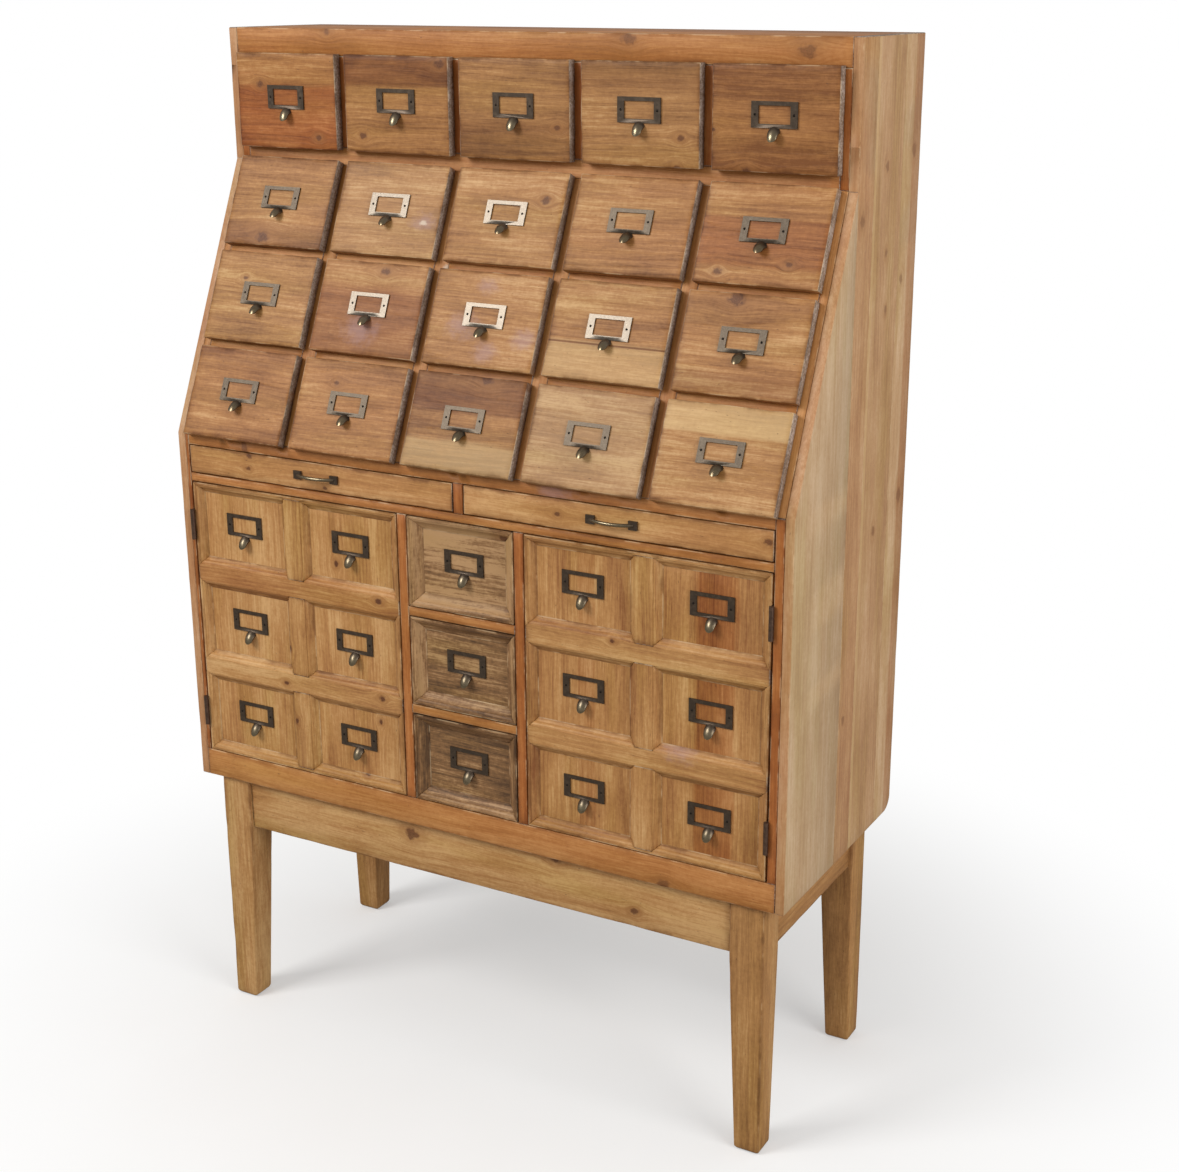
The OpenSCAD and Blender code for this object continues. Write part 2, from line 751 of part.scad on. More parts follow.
// Outline of each member of a door: pieces of the stiles, rails, bars and short bars. Their
// ends are mitred across the mouldings. The short bars butt against the flats of the others
function door_members() =
    let (
        w = door_w / 2,
        h = door_h / 2,
        edge = door_flat_w + door_moulding_w,
        flat = bar_flat_w / 2,
        bar = flat + door_moulding_w,
        rail_z = (field_h + bar_flat_w) / 2,
        spans = [[-h + edge, -rail_z - bar], [-rail_z + bar, rail_z - bar], [rail_z + bar, h - edge]]
    )
    concat(
        [for (s = [-1, 1], span = spans) [
            [s * (w - edge), span[0]], [s * (w - edge), span[1]],
            [s * w, span[1] + edge], [s * w, span[0] - edge]
        ]],
        [for (s = [-1, 1]) concat(
            [[-w, s * h], [w, s * h], [w - edge, s * (h - edge)]],
            notch(s * (h - edge), s, bar, flat),
            [[-w + edge, s * (h - edge)]]
        )],
        [for (z = [-rail_z, rail_z]) concat(
            [[-w, z - bar + edge], [-w + edge, z - bar]],
            reversed(notch(z - bar, 1, bar, flat)),
            [[w - edge, z - bar], [w, z - bar + edge], [w, z + bar - edge], [w - edge, z + bar]],
            notch(z + bar, -1, bar, flat),
            [[-w + edge, z + bar], [-w, z + bar - edge]]
        )],
        [for (span = spans) concat(
            notch(span[1], 1, bar, flat), reversed(notch(span[0], -1, bar, flat))
        )]
    );

// Heights of the middles of a door's two hinges
hinge_zs = [door_z0 + inset_gap + hinge_inset, door_z1 - inset_gap - hinge_inset];

// Six label holders on a door, with the moving halves of its hinges
module door_fittings(side) {
    from_front() {
        for (i = [-1, 1], k = [-1 : 1])
            translate([door_x(side) + i * (field_w + bar_flat_w) / 2, door_moulding_d - seam,
                door_mid_z + k * (field_h + bar_flat_w) + low_holder_rise]) label_holder();
        color("#3b3530") for (z = hinge_zs)
            translate([hinge_x(side), 0, z]) mirror([side < 0 ? 1 : 0, 0, 0]) moving_leaf();
    }
}

// Hinge parts, drawn for the right door around the pin's place along X
module moving_leaf() {
    x1 = -hinge_play / 2;
    difference() {
        union() {
            translate([x1 - leaf_t, run_gap, -hinge_h / 2]) cube([leaf_t, leaf_w, hinge_h]);
            translate([x1 - leaf_t, barrel_y, -knuckle_h / 2])
                cube([leaf_t, run_gap - barrel_y, knuckle_h]);
            translate([0, barrel_y, -knuckle_h / 2]) cylinder(r = barrel_r, h = knuckle_h);
        }
        translate([0, barrel_y, -knuckle_h]) cylinder(r = pin_r + hinge_play, h = 2 * knuckle_h);
    }
}

module fixed_leaf() {
    x0 = hinge_play / 2;
    translate([x0, run_gap, -hinge_h / 2]) cube([leaf_t, leaf_w, hinge_h]);
    for (end = [-1, 1])
        translate([0, barrel_y, end * (knuckle_h + hinge_play) - knuckle_h / 2])
            difference() {
                union() {
                    cylinder(r = barrel_r, h = knuckle_h);
                    translate([x0, 0, 0]) cube([leaf_t, run_gap - barrel_y, knuckle_h]);
                }
                translate([0, 0, -cut]) cylinder(r = pin_r + pin_fit, h = knuckle_h + 2 * cut);
            }
}

// Pin that runs through the three knuckles of a hinge
module hinge_pin() {
    translate([0, barrel_y, -hinge_h / 2]) cylinder(r = pin_r, h = hinge_h);
}

// The fixed leaves of the four hinges, with their pins
module hinges() {
    color("#3b3530") from_front() for (side = [-1, 1], z = hinge_zs)
        translate([hinge_x(side), 0, z]) mirror([side < 0 ? 1 : 0, 0, 0]) {
            fixed_leaf();
            hinge_pin();
        }
}

// A leg of square section, plumb on its two outer faces and tapered on its two inner ones.
// It is drawn with its outer corner at the origin, inwards along +X and +Y
module leg() {
    rotate([90, 0, 0])
        translate([0, 0, -leg_w])
            intersection() {
                linear_extrude(leg_w) leg_outline();
                translate([0, 0, leg_w])
                    rotate([0, 90, 0])
                        linear_extrude(leg_w) leg_outline();
            }
}

module leg_outline() {
    k = foot_chamfer;
    polygon([
        [k, 0], [foot_w - k, 0], [foot_w, k], [leg_w, leg_h - apron_h],
        [leg_w, leg_h - seam], [0, leg_h - seam], [0, k]
    ]);
}

module legs() {
    x = case_w / 2 - leg_inset_x;
    color("#a87a48") from_front() for (side = [-1, 1]) {
        translate([side * x, leg_inset_front, 0])
            mirror([side < 0 ? 0 : 1, 0, 0]) leg();
        translate([side * x, case_d - leg_inset_back, 0])
            mirror([side < 0 ? 0 : 1, 0, 0]) mirror([0, 1, 0]) leg();
    }
}

module aprons() {
    x1 = case_w / 2 - leg_inset_x;
    y0 = leg_inset_front;
    y1 = case_d - leg_inset_back;
    z0 = leg_h - apron_h;
    color("#a4703f") from_front() {
        board([-x1 + leg_w, y0 + apron_inset, z0], [x1 - leg_w, y0 + apron_inset + apron_t, leg_h]);
        board([-x1 + leg_w, y1 - apron_inset - apron_t, z0], [x1 - leg_w, y1 - apron_inset, leg_h]);
        for (side = [-1, 1]) {
            x = side * (x1 - apron_inset - apron_t / 2);
            board([x - apron_t / 2, y0 + leg_w + seam, z0], [x + apron_t / 2, y1 - leg_w - seam, leg_h]);
        }
    }
}

side_panels();
carcass_boards();
face_frame();
legs();
aprons();
hinges();
for (r = [1 : rows], c = [1 : cols]) {
    small_drawer(r, c);
    small_pull(r, c);
}
centre_drawer(0);  // centre_drawer_top
centre_drawer(1);  // centre_drawer_middle
centre_drawer(2);  // centre_drawer_bottom
centre_pull(0);  // centre_pull_top
centre_pull(1);  // centre_pull_middle
centre_pull(2);  // centre_pull_bottom
shallow_drawer(-1);  // shallow_drawer_left
shallow_drawer(1);  // shallow_drawer_right
bow_handle(-1);  // bow_handle_left
bow_handle(1);  // bow_handle_right
door(-1);  // door_left
door(1);  // door_right
door_fittings(-1);  // door_fittings_left
door_fittings(1);  // door_fittings_right
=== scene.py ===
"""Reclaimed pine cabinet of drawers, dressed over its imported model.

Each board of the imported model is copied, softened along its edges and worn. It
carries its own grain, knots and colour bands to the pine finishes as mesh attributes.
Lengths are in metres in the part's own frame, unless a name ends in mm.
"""
import json
import logging
import math
import random
from dataclasses import dataclass, field
from enum import Enum
from typing import Callable, Iterable, Mapping, Optional, Sequence, Union

import bmesh
import bpy
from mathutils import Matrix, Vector, noise

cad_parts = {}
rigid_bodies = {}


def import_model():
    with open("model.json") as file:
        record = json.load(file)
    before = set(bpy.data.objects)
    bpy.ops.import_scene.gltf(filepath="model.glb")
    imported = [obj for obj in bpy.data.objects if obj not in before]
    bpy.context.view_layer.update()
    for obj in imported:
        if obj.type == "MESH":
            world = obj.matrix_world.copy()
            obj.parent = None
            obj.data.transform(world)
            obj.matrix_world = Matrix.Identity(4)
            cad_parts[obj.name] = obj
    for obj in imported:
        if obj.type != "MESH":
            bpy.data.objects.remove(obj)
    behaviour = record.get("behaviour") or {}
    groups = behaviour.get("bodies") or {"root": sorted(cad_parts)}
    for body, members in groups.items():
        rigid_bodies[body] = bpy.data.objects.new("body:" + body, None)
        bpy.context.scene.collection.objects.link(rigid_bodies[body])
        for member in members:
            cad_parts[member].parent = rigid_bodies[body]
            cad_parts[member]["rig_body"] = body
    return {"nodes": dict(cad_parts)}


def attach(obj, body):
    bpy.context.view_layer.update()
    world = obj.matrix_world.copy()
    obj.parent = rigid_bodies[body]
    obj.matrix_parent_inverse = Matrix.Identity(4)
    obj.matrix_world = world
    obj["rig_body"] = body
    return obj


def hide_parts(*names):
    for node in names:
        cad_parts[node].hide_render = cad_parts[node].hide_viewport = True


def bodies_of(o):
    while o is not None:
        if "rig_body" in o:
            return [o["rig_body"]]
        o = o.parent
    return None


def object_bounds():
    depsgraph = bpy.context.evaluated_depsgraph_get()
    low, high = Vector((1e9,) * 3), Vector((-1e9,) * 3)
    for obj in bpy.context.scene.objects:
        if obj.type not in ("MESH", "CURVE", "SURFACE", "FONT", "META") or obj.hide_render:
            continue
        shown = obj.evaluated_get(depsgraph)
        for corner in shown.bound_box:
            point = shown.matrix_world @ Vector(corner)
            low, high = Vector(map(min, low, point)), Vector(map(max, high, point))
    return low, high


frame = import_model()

LOG = logging.getLogger("cabinet")
CAD_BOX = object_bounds()

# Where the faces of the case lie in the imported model.
MM = 0.001
FRONT_SET_IN = 0.01342
FRONT_Y = CAD_BOX[0].y + FRONT_SET_IN
CASE_FOOT_Z = 0.350
SLOPE_FOOT_Z = 0.846
SLOPE_TOP_Z = 1.195
SLOPE_RUN = 0.156
SLOPE_ANGLE = math.atan2(SLOPE_RUN, SLOPE_TOP_Z - SLOPE_FOOT_Z)
HALF_CASE_W = 0.450

# How many marks and bands one board can carry, and how far off an unused one is put.
MAX_KNOTS = 4
MAX_BANDS = 2
FAR_AWAY = 900.0


# ---------------------------------------------------------------- shader maths


Term = Union["Value", float, int]
Shade = Union[str, bpy.types.NodeSocket]

# Colours are written as six hexadecimal digits. The last four multiply the wood's own.
WHITE = "FFFFFF"
REDDENED = "EEBC92"
DARKENED = "B5977A"
OLIVE = "EDEFD2"
# The last tint darkens the wood near a board's edges: partly dirt, partly painted shade along
# grooves and edges.
SMOKE_AND_SHADE = "B49B80"


def colour(code: str) -> tuple[float, float, float, float]:
    """Turn a written colour into the linear one that a shader takes.

    Args:
        code: The colour as six hexadecimal digits.

    Returns:
        Red, green, blue and alpha, linear.
    """
    parts = [int(code[i : i + 2], 16) / 255 for i in (0, 2, 4)]
    linear = [p / 12.92 if p <= 0.04045 else ((p + 0.055) / 1.055) ** 2.4 for p in parts]
    return (linear[0], linear[1], linear[2], 1.0)


def _arithmetic(operation: str, swapped: bool = False) -> Callable[["Value", Term], "Value"]:
    """Make a method of Value from what a Math node does.

    Args:
        operation: The node's operation.
        swapped: Whether the other term comes first in it.

    Returns:
        The method.
    """

    def method(value: "Value", other: Term) -> "Value":
        """Return what the node gives."""
        return value.maths(operation, *((other, value) if swapped else (value, other)))

    return method


class Value:
    """A number that varies over a surface, with Python's own arithmetic."""

    def __init__(self, plan: "Plan", socket: bpy.types.NodeSocket) -> None:
        """Wrap a node's output."""
        self.plan = plan
        self.socket = socket

    def maths(self, operation: str, *terms: Term) -> "Value":
        """Add one Math node and return what it gives."""
        node = self.plan.add("ShaderNodeMath", {"operation": operation}, dict(enumerate(terms)))
        return Value(self.plan, node.outputs[0])

    __add__ = __radd__ = _arithmetic("ADD")
    __sub__, __rsub__ = _arithmetic("SUBTRACT"), _arithmetic("SUBTRACT", True)
    __mul__ = __rmul__ = _arithmetic("MULTIPLY")
    __truediv__, __rtruediv__ = _arithmetic("DIVIDE"), _arithmetic("DIVIDE", True)
    power = _arithmetic("POWER")
    least, most = _arithmetic("MINIMUM"), _arithmetic("MAXIMUM")

    def __abs__(self) -> "Value":
        """Return the size without the sign."""
        return self.maths("ABSOLUTE", self)

    def fract(self) -> "Value":
        """Return the part after the decimal point."""
        return self.maths("FRACT", self)

    def clamped(self) -> "Value":
        """Return this held between 0 and 1."""
        return self.least(1.0).most(0.0)

    def step(self, low: float, high: float) -> "Value":
        """Rise smoothly from 0 to 1.

        Args:
            low: Where the rise starts.
            high: Where it ends; below low, the value falls instead.

        Returns:
            The smoothed value.
        """
        node = self.plan.add(
            "ShaderNodeMapRange",
            {"interpolation_type": "SMOOTHSTEP"},
            {"Value": self, "From Min": min(low, high), "From Max": max(low, high)},
        )
        rise = Value(self.plan, node.outputs[0])
        return rise if low < high else 1 - rise


class Plan:
    """The node tree of a material or world; every node comes from its add method."""

    def __init__(self, owner: Union[bpy.types.Material, bpy.types.World]) -> None:
        """Empty the tree of its owner.

        Args:
            owner: The material or the world.
        """
        self.owner = owner
        owner.use_nodes = True
        owner.node_tree.nodes.clear()

    def add(
        self,
        kind: str,
        settings: Optional[Mapping[str, object]] = None,
        inputs: Optional[Mapping[Union[str, int], object]] = None,
    ) -> bpy.types.Node:
        """Add a node, set it up and then fill its sockets.

        Args:
            kind: The node's type.
            settings: Its properties; "stops" holds a ramp's places and colours.
            inputs: Values, written colours or links, by a socket's name, identifier or place.

        Returns:
            The node.
        """
        tree = self.owner.node_tree
        node = tree.nodes.new(kind)
        for key, setting in (settings or {}).items():
            if key == "stops":
                ramp = node.color_ramp
                for place, shade in setting:
                    inner = 0.0 < place < 1.0
                    stop = ramp.elements.new(place) if inner else ramp.elements[-int(place)]
                    stop.position, stop.color = place, colour(shade)
            else:
                setattr(node, key, setting)
        for key, term in (inputs or {}).items():
            socket = self._socket(node, key)
            if isinstance(term, Value):
                tree.links.new(term.socket, socket)
            elif isinstance(term, bpy.types.NodeSocket):
                tree.links.new(term, socket)
            else:
                socket.default_value = colour(term) if isinstance(term, str) else term
        return node

    @staticmethod
    def _socket(node: bpy.types.Node, key: Union[str, int]) -> bpy.types.NodeSocket:
        """Find an input of a node.

        Args:
            node: The node.
            key: The input's place, identifier or name.

        Returns:
            The socket.
        """
        if isinstance(key, int):
            return node.inputs[key]
        for socket in node.inputs:
            if key in (socket.identifier, socket.name) and socket.enabled:
                return socket
        raise KeyError(f"{node.bl_idname} has no input {key}")

    def noise(
        self,
        vector: bpy.types.NodeSocket,
        scale: Union[float, Sequence[float]],
        detail: float = 2.0,
        rough: float = 0.5,
    ) -> Value:
        """Lay smooth noise between 0 and 1 over a surface.

        Args:
            vector: Where it is read.
            scale: How fine it is, as one number or as one for each axis.
            detail: How many finer layers it has.
            rough: How strong they are.

        Returns:
            The noise.
        """
        if isinstance(scale, Sequence):
            stretch = {0: vector, 1: scale}
            vector = self.add("ShaderNodeVectorMath", {"operation": "MULTIPLY"}, stretch).outputs[0]
            scale = 1.0
        node = self.add(
            "ShaderNodeTexNoise",
            {},
            {"Vector": vector, "Scale": scale, "Detail": detail, "Roughness": rough},
        )
        return Value(self, node.outputs[0])

    def parts(self, vector: bpy.types.NodeSocket) -> tuple[Value, Value, Value]:
        """Return the three numbers of a vector."""
        node = self.add("ShaderNodeSeparateXYZ", {}, {0: vector})
        return tuple(Value(self, out) for out in node.outputs)

    def joined(self, x: Term, y: Term, z: Term) -> bpy.types.NodeSocket:
        """Return a vector of three numbers."""
        return self.add("ShaderNodeCombineXYZ", {}, {0: x, 1: y, 2: z}).outputs[0]

    def mix(
        self,
        factor: Term,
        first: Shade,
        second: Shade,
        blend: str = "MIX",
    ) -> bpy.types.NodeSocket:
        """Mix two colours.

        Args:
            factor: How much of the second shows.
            first: The colour below.
            second: The colour above.
            blend: How they mix.

        Returns:
            The mixed colour.
        """
        node = self.add(
            "ShaderNodeMix",
            {"data_type": "RGBA", "blend_type": blend},
            {"Factor_Float": factor, "A_Color": first, "B_Color": second},
        )
        return next(out for out in node.outputs if out.identifier == "Result_Color")

    def attribute(self, name: str) -> bpy.types.Node:
        """Return the node that reads one of the piece's own attributes."""
        return self.add("ShaderNodeAttribute", {"attribute_name": name})

    def finish(
        self, constants: Mapping[str, object], height: Value, depth: float, strength: float,
        **varying: object,
    ) -> bpy.types.Material:
        """End the tree in a shader with a bump.

        Args:
            constants: What is the same all over, by socket name.
            height: The height of the fine relief.
            depth: What a height of 1 stands for, in metres.
            strength: How much of the relief shows.
            varying: Links to Base_Color, Roughness or Metallic.

        Returns:
            The finished material.
        """
        bump = self.add(
            "ShaderNodeBump", {}, {"Height": height, "Distance": depth, "Strength": strength}
        )
        sockets = {name.replace("_", " "): term for name, term in varying.items()}
        shader = self.add(
            "ShaderNodeBsdfPrincipled", {}, {**constants, **sockets, "Normal": bump.outputs[0]}
        )
        self.add("ShaderNodeOutputMaterial", {}, {"Surface": shader.outputs[0]})
        return self.owner


# -------------------------------------------------------------------- finishes


@dataclass(frozen=True)
class Layer:
    """One layer of noise in the wood."""

    scale: Union[float, tuple[float, float, float]]
    detail: float = 2.0
    rough: float = 0.5


class Grain(Enum):
    """The layers of noise in the wood; those with three scales run with the grain.

    SLOW bends the rings. STREAK, BROAD and FIBRE lie in the grain, BLOTCH and MOTTLE over
    it. The others shape the hue, the specks, the bands, the sawn ends, the dirt and the marks.
    """

    SLOW = Layer((3.0, 9.0, 9.0))
    STREAK = Layer((8.0, 230.0, 230.0), 5.0, 0.74)
    BROAD = Layer((3.0, 38.0, 38.0), 3.0, 0.6)
    FIBRE = Layer((40.0, 620.0, 620.0), 3.0, 0.7)
    BLOTCH = Layer((7.0, 15.0, 15.0), 4.0, 0.6)
    MOTTLE = Layer(190.0, 3.0, 0.65)
    HUE = Layer((4.0, 26.0, 26.0))
    SPECK = Layer((150.0, 420.0, 420.0), 1.0)
    RAGGED = Layer((6.0, 90.0, 90.0), 4.0)
    CHALK = Layer(330.0, 4.0, 0.7)
    WANDER = Layer(28.0, 4.0, 0.6)
    KNOT_RIM = Layer(160.0)
    CLOUD = Layer(75.0, 4.0, 0.65)


# Where a plain board lies between early and late wood, and what its tone adds.
MIDDLE_DEPTH = 0.36
TONE_DEPTH = 0.6
MID_STOP = 0.42

# How far boards lie apart in the noise, and where the pith of the trunk lies from each.
SEED_SHIFT = (7.3, 3.1, 5.7)
WAVER = 0.014
PITH_DRAWS = (17.0, 29.0)
PITH_ASIDE = 0.06
PITH_BELOW = 0.02
PITH_BELOW_SPREAD = 0.05
TAPER = 0.025

# How the late wood darkens and ends in each ring, and in which places the rings show.
RING_DARKENS = (0.15, 0.93)
RING_ENDS = (1.0, 0.94)
RINGS_SHOW = (0.25, 0.70)
RINGS_WAVER = 0.9

# Distances from a board's edge at which the dirt and painted shade, and the wear, start and are
# full.
SMOKE_AND_SHADE_FROM = (0.012, -0.004)
DIRT_AND_SHADE_FROM = (0.0030, -0.0012)
RUBBED_FROM = (0.0018, 0.0004)
SAWN_FROM = (0.0014, 0.0004)
SMOKE_AND_SHADE_WANDERS = 0.030
DIRT_AND_SHADE_WANDERS = 0.014

PINE_GLOSS = {"IOR": 1.45, "Specular IOR Level": 0.36}
PINE_RELIEF = 0.0011
PINE_RELIEF_SHOWN = 0.42


class Wood:
    """A board as its finish reads it: its place in the trunk, its knots and its grain."""

    def __init__(self, plan: Plan) -> None:
        """Read the board's attributes and lay the noise in its grain.

        Args:
            plan: The material being made.
        """
        self.plan = plan
        self.ways = plan.parts(plan.attribute("local").outputs["Vector"])
        self.half = plan.parts(plan.attribute("half").outputs["Vector"])
        look = plan.attribute("look")
        self.tone, self.red, self.grey = plan.parts(look.outputs["Color"])
        self.seed = Value(plan, look.outputs["Alpha"])
        self.place = self._shifted(*self.ways)
        self.knots = [KnotShade(self, index) for index in range(MAX_KNOTS)]
        along, across, deep = self.ways
        bend = sum(knot.bend for knot in self.knots)
        self.bent = across - bend + (self.noise(Grain.SLOW) - 0.5) * WAVER
        within = self._shifted(along, self.bent, deep)
        self.streak = self.noise(Grain.STREAK, within)
        self.broad = self.noise(Grain.BROAD, within)
        self.fibre = self.noise(Grain.FIBRE, within)
        self.blotch = self.noise(Grain.BLOTCH)
        self.mottle = self.noise(Grain.MOTTLE)

    def _shifted(self, *ways: Value) -> bpy.types.NodeSocket:
        """Return a place at which no two boards read the same noise."""
        return self.plan.joined(*(way + self.seed * by for way, by in zip(ways, SEED_SHIFT)))

    def noise(self, choice: Grain, where: Optional[bpy.types.NodeSocket] = None) -> Value:
        """Return one layer of noise, read at the board's own place or at another."""
        layer = choice.value
        return self.plan.noise(where or self.place, layer.scale, layer.detail, layer.rough)

    def rings(self, apart: float) -> Value:
        """Saw the board out of a trunk, whose rings bend around its knots.

        Args:
            apart: The distance between two rings.

        Returns:
            Where their late wood lies.
        """
        along, _, deep = self.ways
        aside, beneath = ((self.seed * draw).fract() for draw in PITH_DRAWS)
        pith = aside * (2 * PITH_ASIDE) - PITH_ASIDE
        below = beneath * PITH_BELOW_SPREAD + PITH_BELOW + along * TAPER
        radius = ((self.bent + pith).power(2.0) + (deep + below).power(2.0)).power(0.5)
        phase = (radius * (1.0 / apart) + (self.streak - 0.5) * RINGS_WAVER).fract()
        late = phase.step(*RING_DARKENS) * phase.step(*RING_ENDS)
        return late * self.broad.step(*RINGS_SHOW)


@dataclass(frozen=True)
class PineFinish:
    """A pine finish, from its early wood to its late wood, with its dirt, painted edge shade and
    wax.
    """

    name: str
    pale: str
    mid: str
    late: str
    end: str
    contrast: float = 1.0
    ring_mm: float = 6.0
    # How dark the edges grow: partly dirt, partly painted shade along grooves and edges.
    grime: float = 0.45
    arris: float = 0.5
    rough: float = 0.52
    specks: float = 0.5
    knots: float = 1.0

    def material(self) -> bpy.types.Material:
        """Build the finish.

        Returns:
            Its material, which reads the boards' attributes.
        """
        plan = Plan(bpy.data.materials.new(self.name))
        wood = Wood(plan)
        ring = wood.rings(self.ring_mm * MM)
        shade = self._end_grain(wood, self._bands(wood, self._colours(wood, ring)))
        for knot in wood.knots:
            shade = knot.over(shade, self.knots)
        shade, rim = self._edges(wood, shade)
        speck = wood.noise(Grain.SPECK).step(0.74, 0.80) * self.specks
        shade = plan.mix(speck, shade, "5A3D28")
        rough = self.rough + (wood.streak - 0.5) * 0.22 + rim * 0.12
        relief = wood.fibre * 0.5 + (1 - ring) * 0.25 + wood.streak * 0.45 - speck * 0.5
        return plan.finish(
            PINE_GLOSS,
            relief,
            PINE_RELIEF,
            PINE_RELIEF_SHOWN,
            Base_Color=shade,
            Roughness=rough,
        )

    def _colours(self, wood: Wood, ring: Value) -> bpy.types.NodeSocket:
        """Colour the bare wood, from its early to its late wood.

        Args:
            wood: The board.
            ring: Where the late wood of its rings lies.

        Returns:
            The colour.
        """
        plan = wood.plan
        uneven = (
            (wood.streak - 0.5) * 0.90
            + ring * 0.18
            + (wood.broad - 0.5) * 0.75
            + (wood.fibre - 0.5) * 0.80
            + (wood.blotch - 0.5) * 1.00
            + (wood.mottle - 0.5) * 0.45
        )
        depth = (MIDDLE_DEPTH + wood.tone * TONE_DEPTH + uneven * self.contrast).clamped()
        stops = ((0.0, self.pale), (MID_STOP, self.mid), (1.0, self.late))
        shade = plan.add("ShaderNodeValToRGB", {"stops": stops}, {0: depth}).outputs[0]
        olive = wood.noise(Grain.HUE).step(0.40, 0.75) * 0.7
        shade = plan.mix(olive, shade, OLIVE, "MULTIPLY")
        red = (wood.red * 0.7 + (wood.blotch - 0.5) * wood.red).clamped()
        shade = plan.mix(red, shade, REDDENED, "MULTIPLY")
        return plan.mix((wood.grey * (0.4 + wood.blotch)).clamped(), shade, "A4957A")

    @staticmethod
    def _bands(wood: Wood, shade: bpy.types.NodeSocket) -> bpy.types.NodeSocket:
        """Lay a board's darker, paler and redder bands over its colour.

        Args:
            wood: The board.
            shade: The colour so far.

        Returns:
            The colour.
        """
        plan = wood.plan
        ragged = wood.noise(Grain.RAGGED)
        for index in range(MAX_BANDS):
            way, dark, red = plan.parts(plan.attribute(f"band{index}").outputs["Vector"])
            inside = (abs(way) + (ragged - 0.5) * 0.7).step(1.15, 0.85)
            uneven = inside * (0.35 + wood.blotch * 1.1)
            shade = plan.mix((uneven * dark).clamped(), shade, DARKENED, "MULTIPLY")
            shade = plan.mix((uneven * dark * -1.0).clamped(), shade, "D9B983")
            shade = plan.mix((uneven * red).clamped(), shade, REDDENED, "MULTIPLY")
        return shade

    def _end_grain(self, wood: Wood, shade: bpy.types.NodeSocket) -> bpy.types.NodeSocket:
        """Grey the sawn ends of a board.

        Args:
            wood: The board.
            shade: The colour so far.

        Returns:
            The colour.
        """
        plan = wood.plan
        end = (wood.half[0] - abs(wood.ways[0])).step(*SAWN_FROM)
        chalk = wood.noise(Grain.CHALK)
        worn = wood.blotch * 1.6 - 0.60 + (chalk - 0.5) * 3.2 + (wood.fibre - 0.5) * 0.8
        sawn = plan.mix(worn.clamped(), self.end, "C2B3A9")
        sawn = plan.mix(chalk.step(0.40, 0.28) * 0.6, sawn, "46362B")
        return plan.mix(end, shade, sawn)

    def _edges(
        self, wood: Wood, shade: bpy.types.NodeSocket
    ) -> tuple[bpy.types.NodeSocket, Value]:
        """Darken a board's edges with dirt and painted shade, and rub its arrises pale.

        Args:
            wood: The board.
            shade: The colour so far.

        Returns:
            The colour, and where the dirt and painted shade lie.
        """
        plan = wood.plan
        gaps = [size - abs(way) for size, way in zip(wood.half, wood.ways)]
        low, high = gaps[0].least(gaps[1]), gaps[0].most(gaps[1])
        edge = low.most(high.least(gaps[2]))
        wander = wood.noise(Grain.WANDER)
        # Darkening near the edges: partly dirt, partly painted shade along grooves and edges.
        smoke_and_shade = (edge + (wander - 0.5) * SMOKE_AND_SHADE_WANDERS).step(*SMOKE_AND_SHADE_FROM)
        dirt_and_shade = (edge + (wander - 0.55) * DIRT_AND_SHADE_WANDERS).step(*DIRT_AND_SHADE_FROM)
        shade = plan.mix(smoke_and_shade * self.grime * 0.7, shade, SMOKE_AND_SHADE, "MULTIPLY")
        shade = plan.mix(dirt_and_shade * self.grime, shade, "7D6048", "MULTIPLY")
        rubbed = edge.step(*RUBBED_FROM) * wander.step(0.46, 0.62) * self.arris
        return plan.mix(rubbed, shade, "D8BC95"), dirt_and_shade


class KnotShade:
    """A knot, a stain or a scar, drawn around a board's own mark."""

    # How it bends the grain, and its ragged rim, core, halo and washes in its own radii.
    LENGTHENED = 0.72
    PUSH_WIDTH = 0.55
    PUSH = 0.0075
    RAGGED = 1.4
    CORE = (1.10, 0.45)
    HALO = (2.8, 0.8)
    RINGS = 3.2
    WASHED = 3.4
    STAINED = (2.2, 0.0)
    SCARRED = (0.9, 0.1)

    def __init__(self, wood: Wood, index: int) -> None:
        """Work out the distance from one of a board's marks, in its own radii.

        Args:
            wood: The board.
            index: Which of its marks it is.
        """
        plan = self.plan = wood.plan
        x, y, self.kind = plan.parts(plan.attribute(f"knot{index}").outputs["Vector"])
        self.ragged = wood.noise(Grain.KNOT_RIM)
        self.cloud = wood.noise(Grain.CLOUD)
        self.reach = ((x * self.LENGTHENED).power(2.0) + y.power(2.0)).power(0.5)
        fall = 1.0 / (1.0 + (self.reach * self.PUSH_WIDTH).power(3.0))
        self.bend = y * fall * self.PUSH * (1.0 - abs(self.kind))

    def over(self, shade: bpy.types.NodeSocket, strength: float) -> bpy.types.NodeSocket:
        """Lay the mark over a colour.

        Args:
            shade: The wood around it.
            strength: How dark a knot is.

        Returns:
            The colour with the mark.
        """
        plan = self.plan
        reach = self.reach + (self.ragged - 0.5) * self.RAGGED
        core = reach.step(*self.CORE)
        halo = reach.step(*self.HALO)
        rings = (reach * self.RINGS).fract().step(0.3, 0.9)
        heart = plan.mix(rings * 0.6, "6E4227", "3A2415")
        knot = (1.0 - abs(self.kind)) * strength
        shade = plan.mix((halo * knot * 0.45).clamped(), shade, "976537")
        shade = plan.mix((core * knot * 0.85).clamped(), shade, heart)
        wash = self.reach + (self.cloud - 0.5) * self.WASHED
        stain = (wash.step(*self.STAINED) * self.kind * 0.42).clamped()
        shade = plan.mix(stain, shade, "A98A8C")
        scar = (wash.step(*self.SCARRED) * self.kind * -0.75).clamped()
        return plan.mix(scar, shade, "D6C3AC")


METAL_CLOUDS = (210.0, 3.0, 0.6)
METAL_GRAINS = (1500.0, 2.0)
METAL_RELIEF = 0.0003
METAL_RELIEF_SHOWN = 0.35


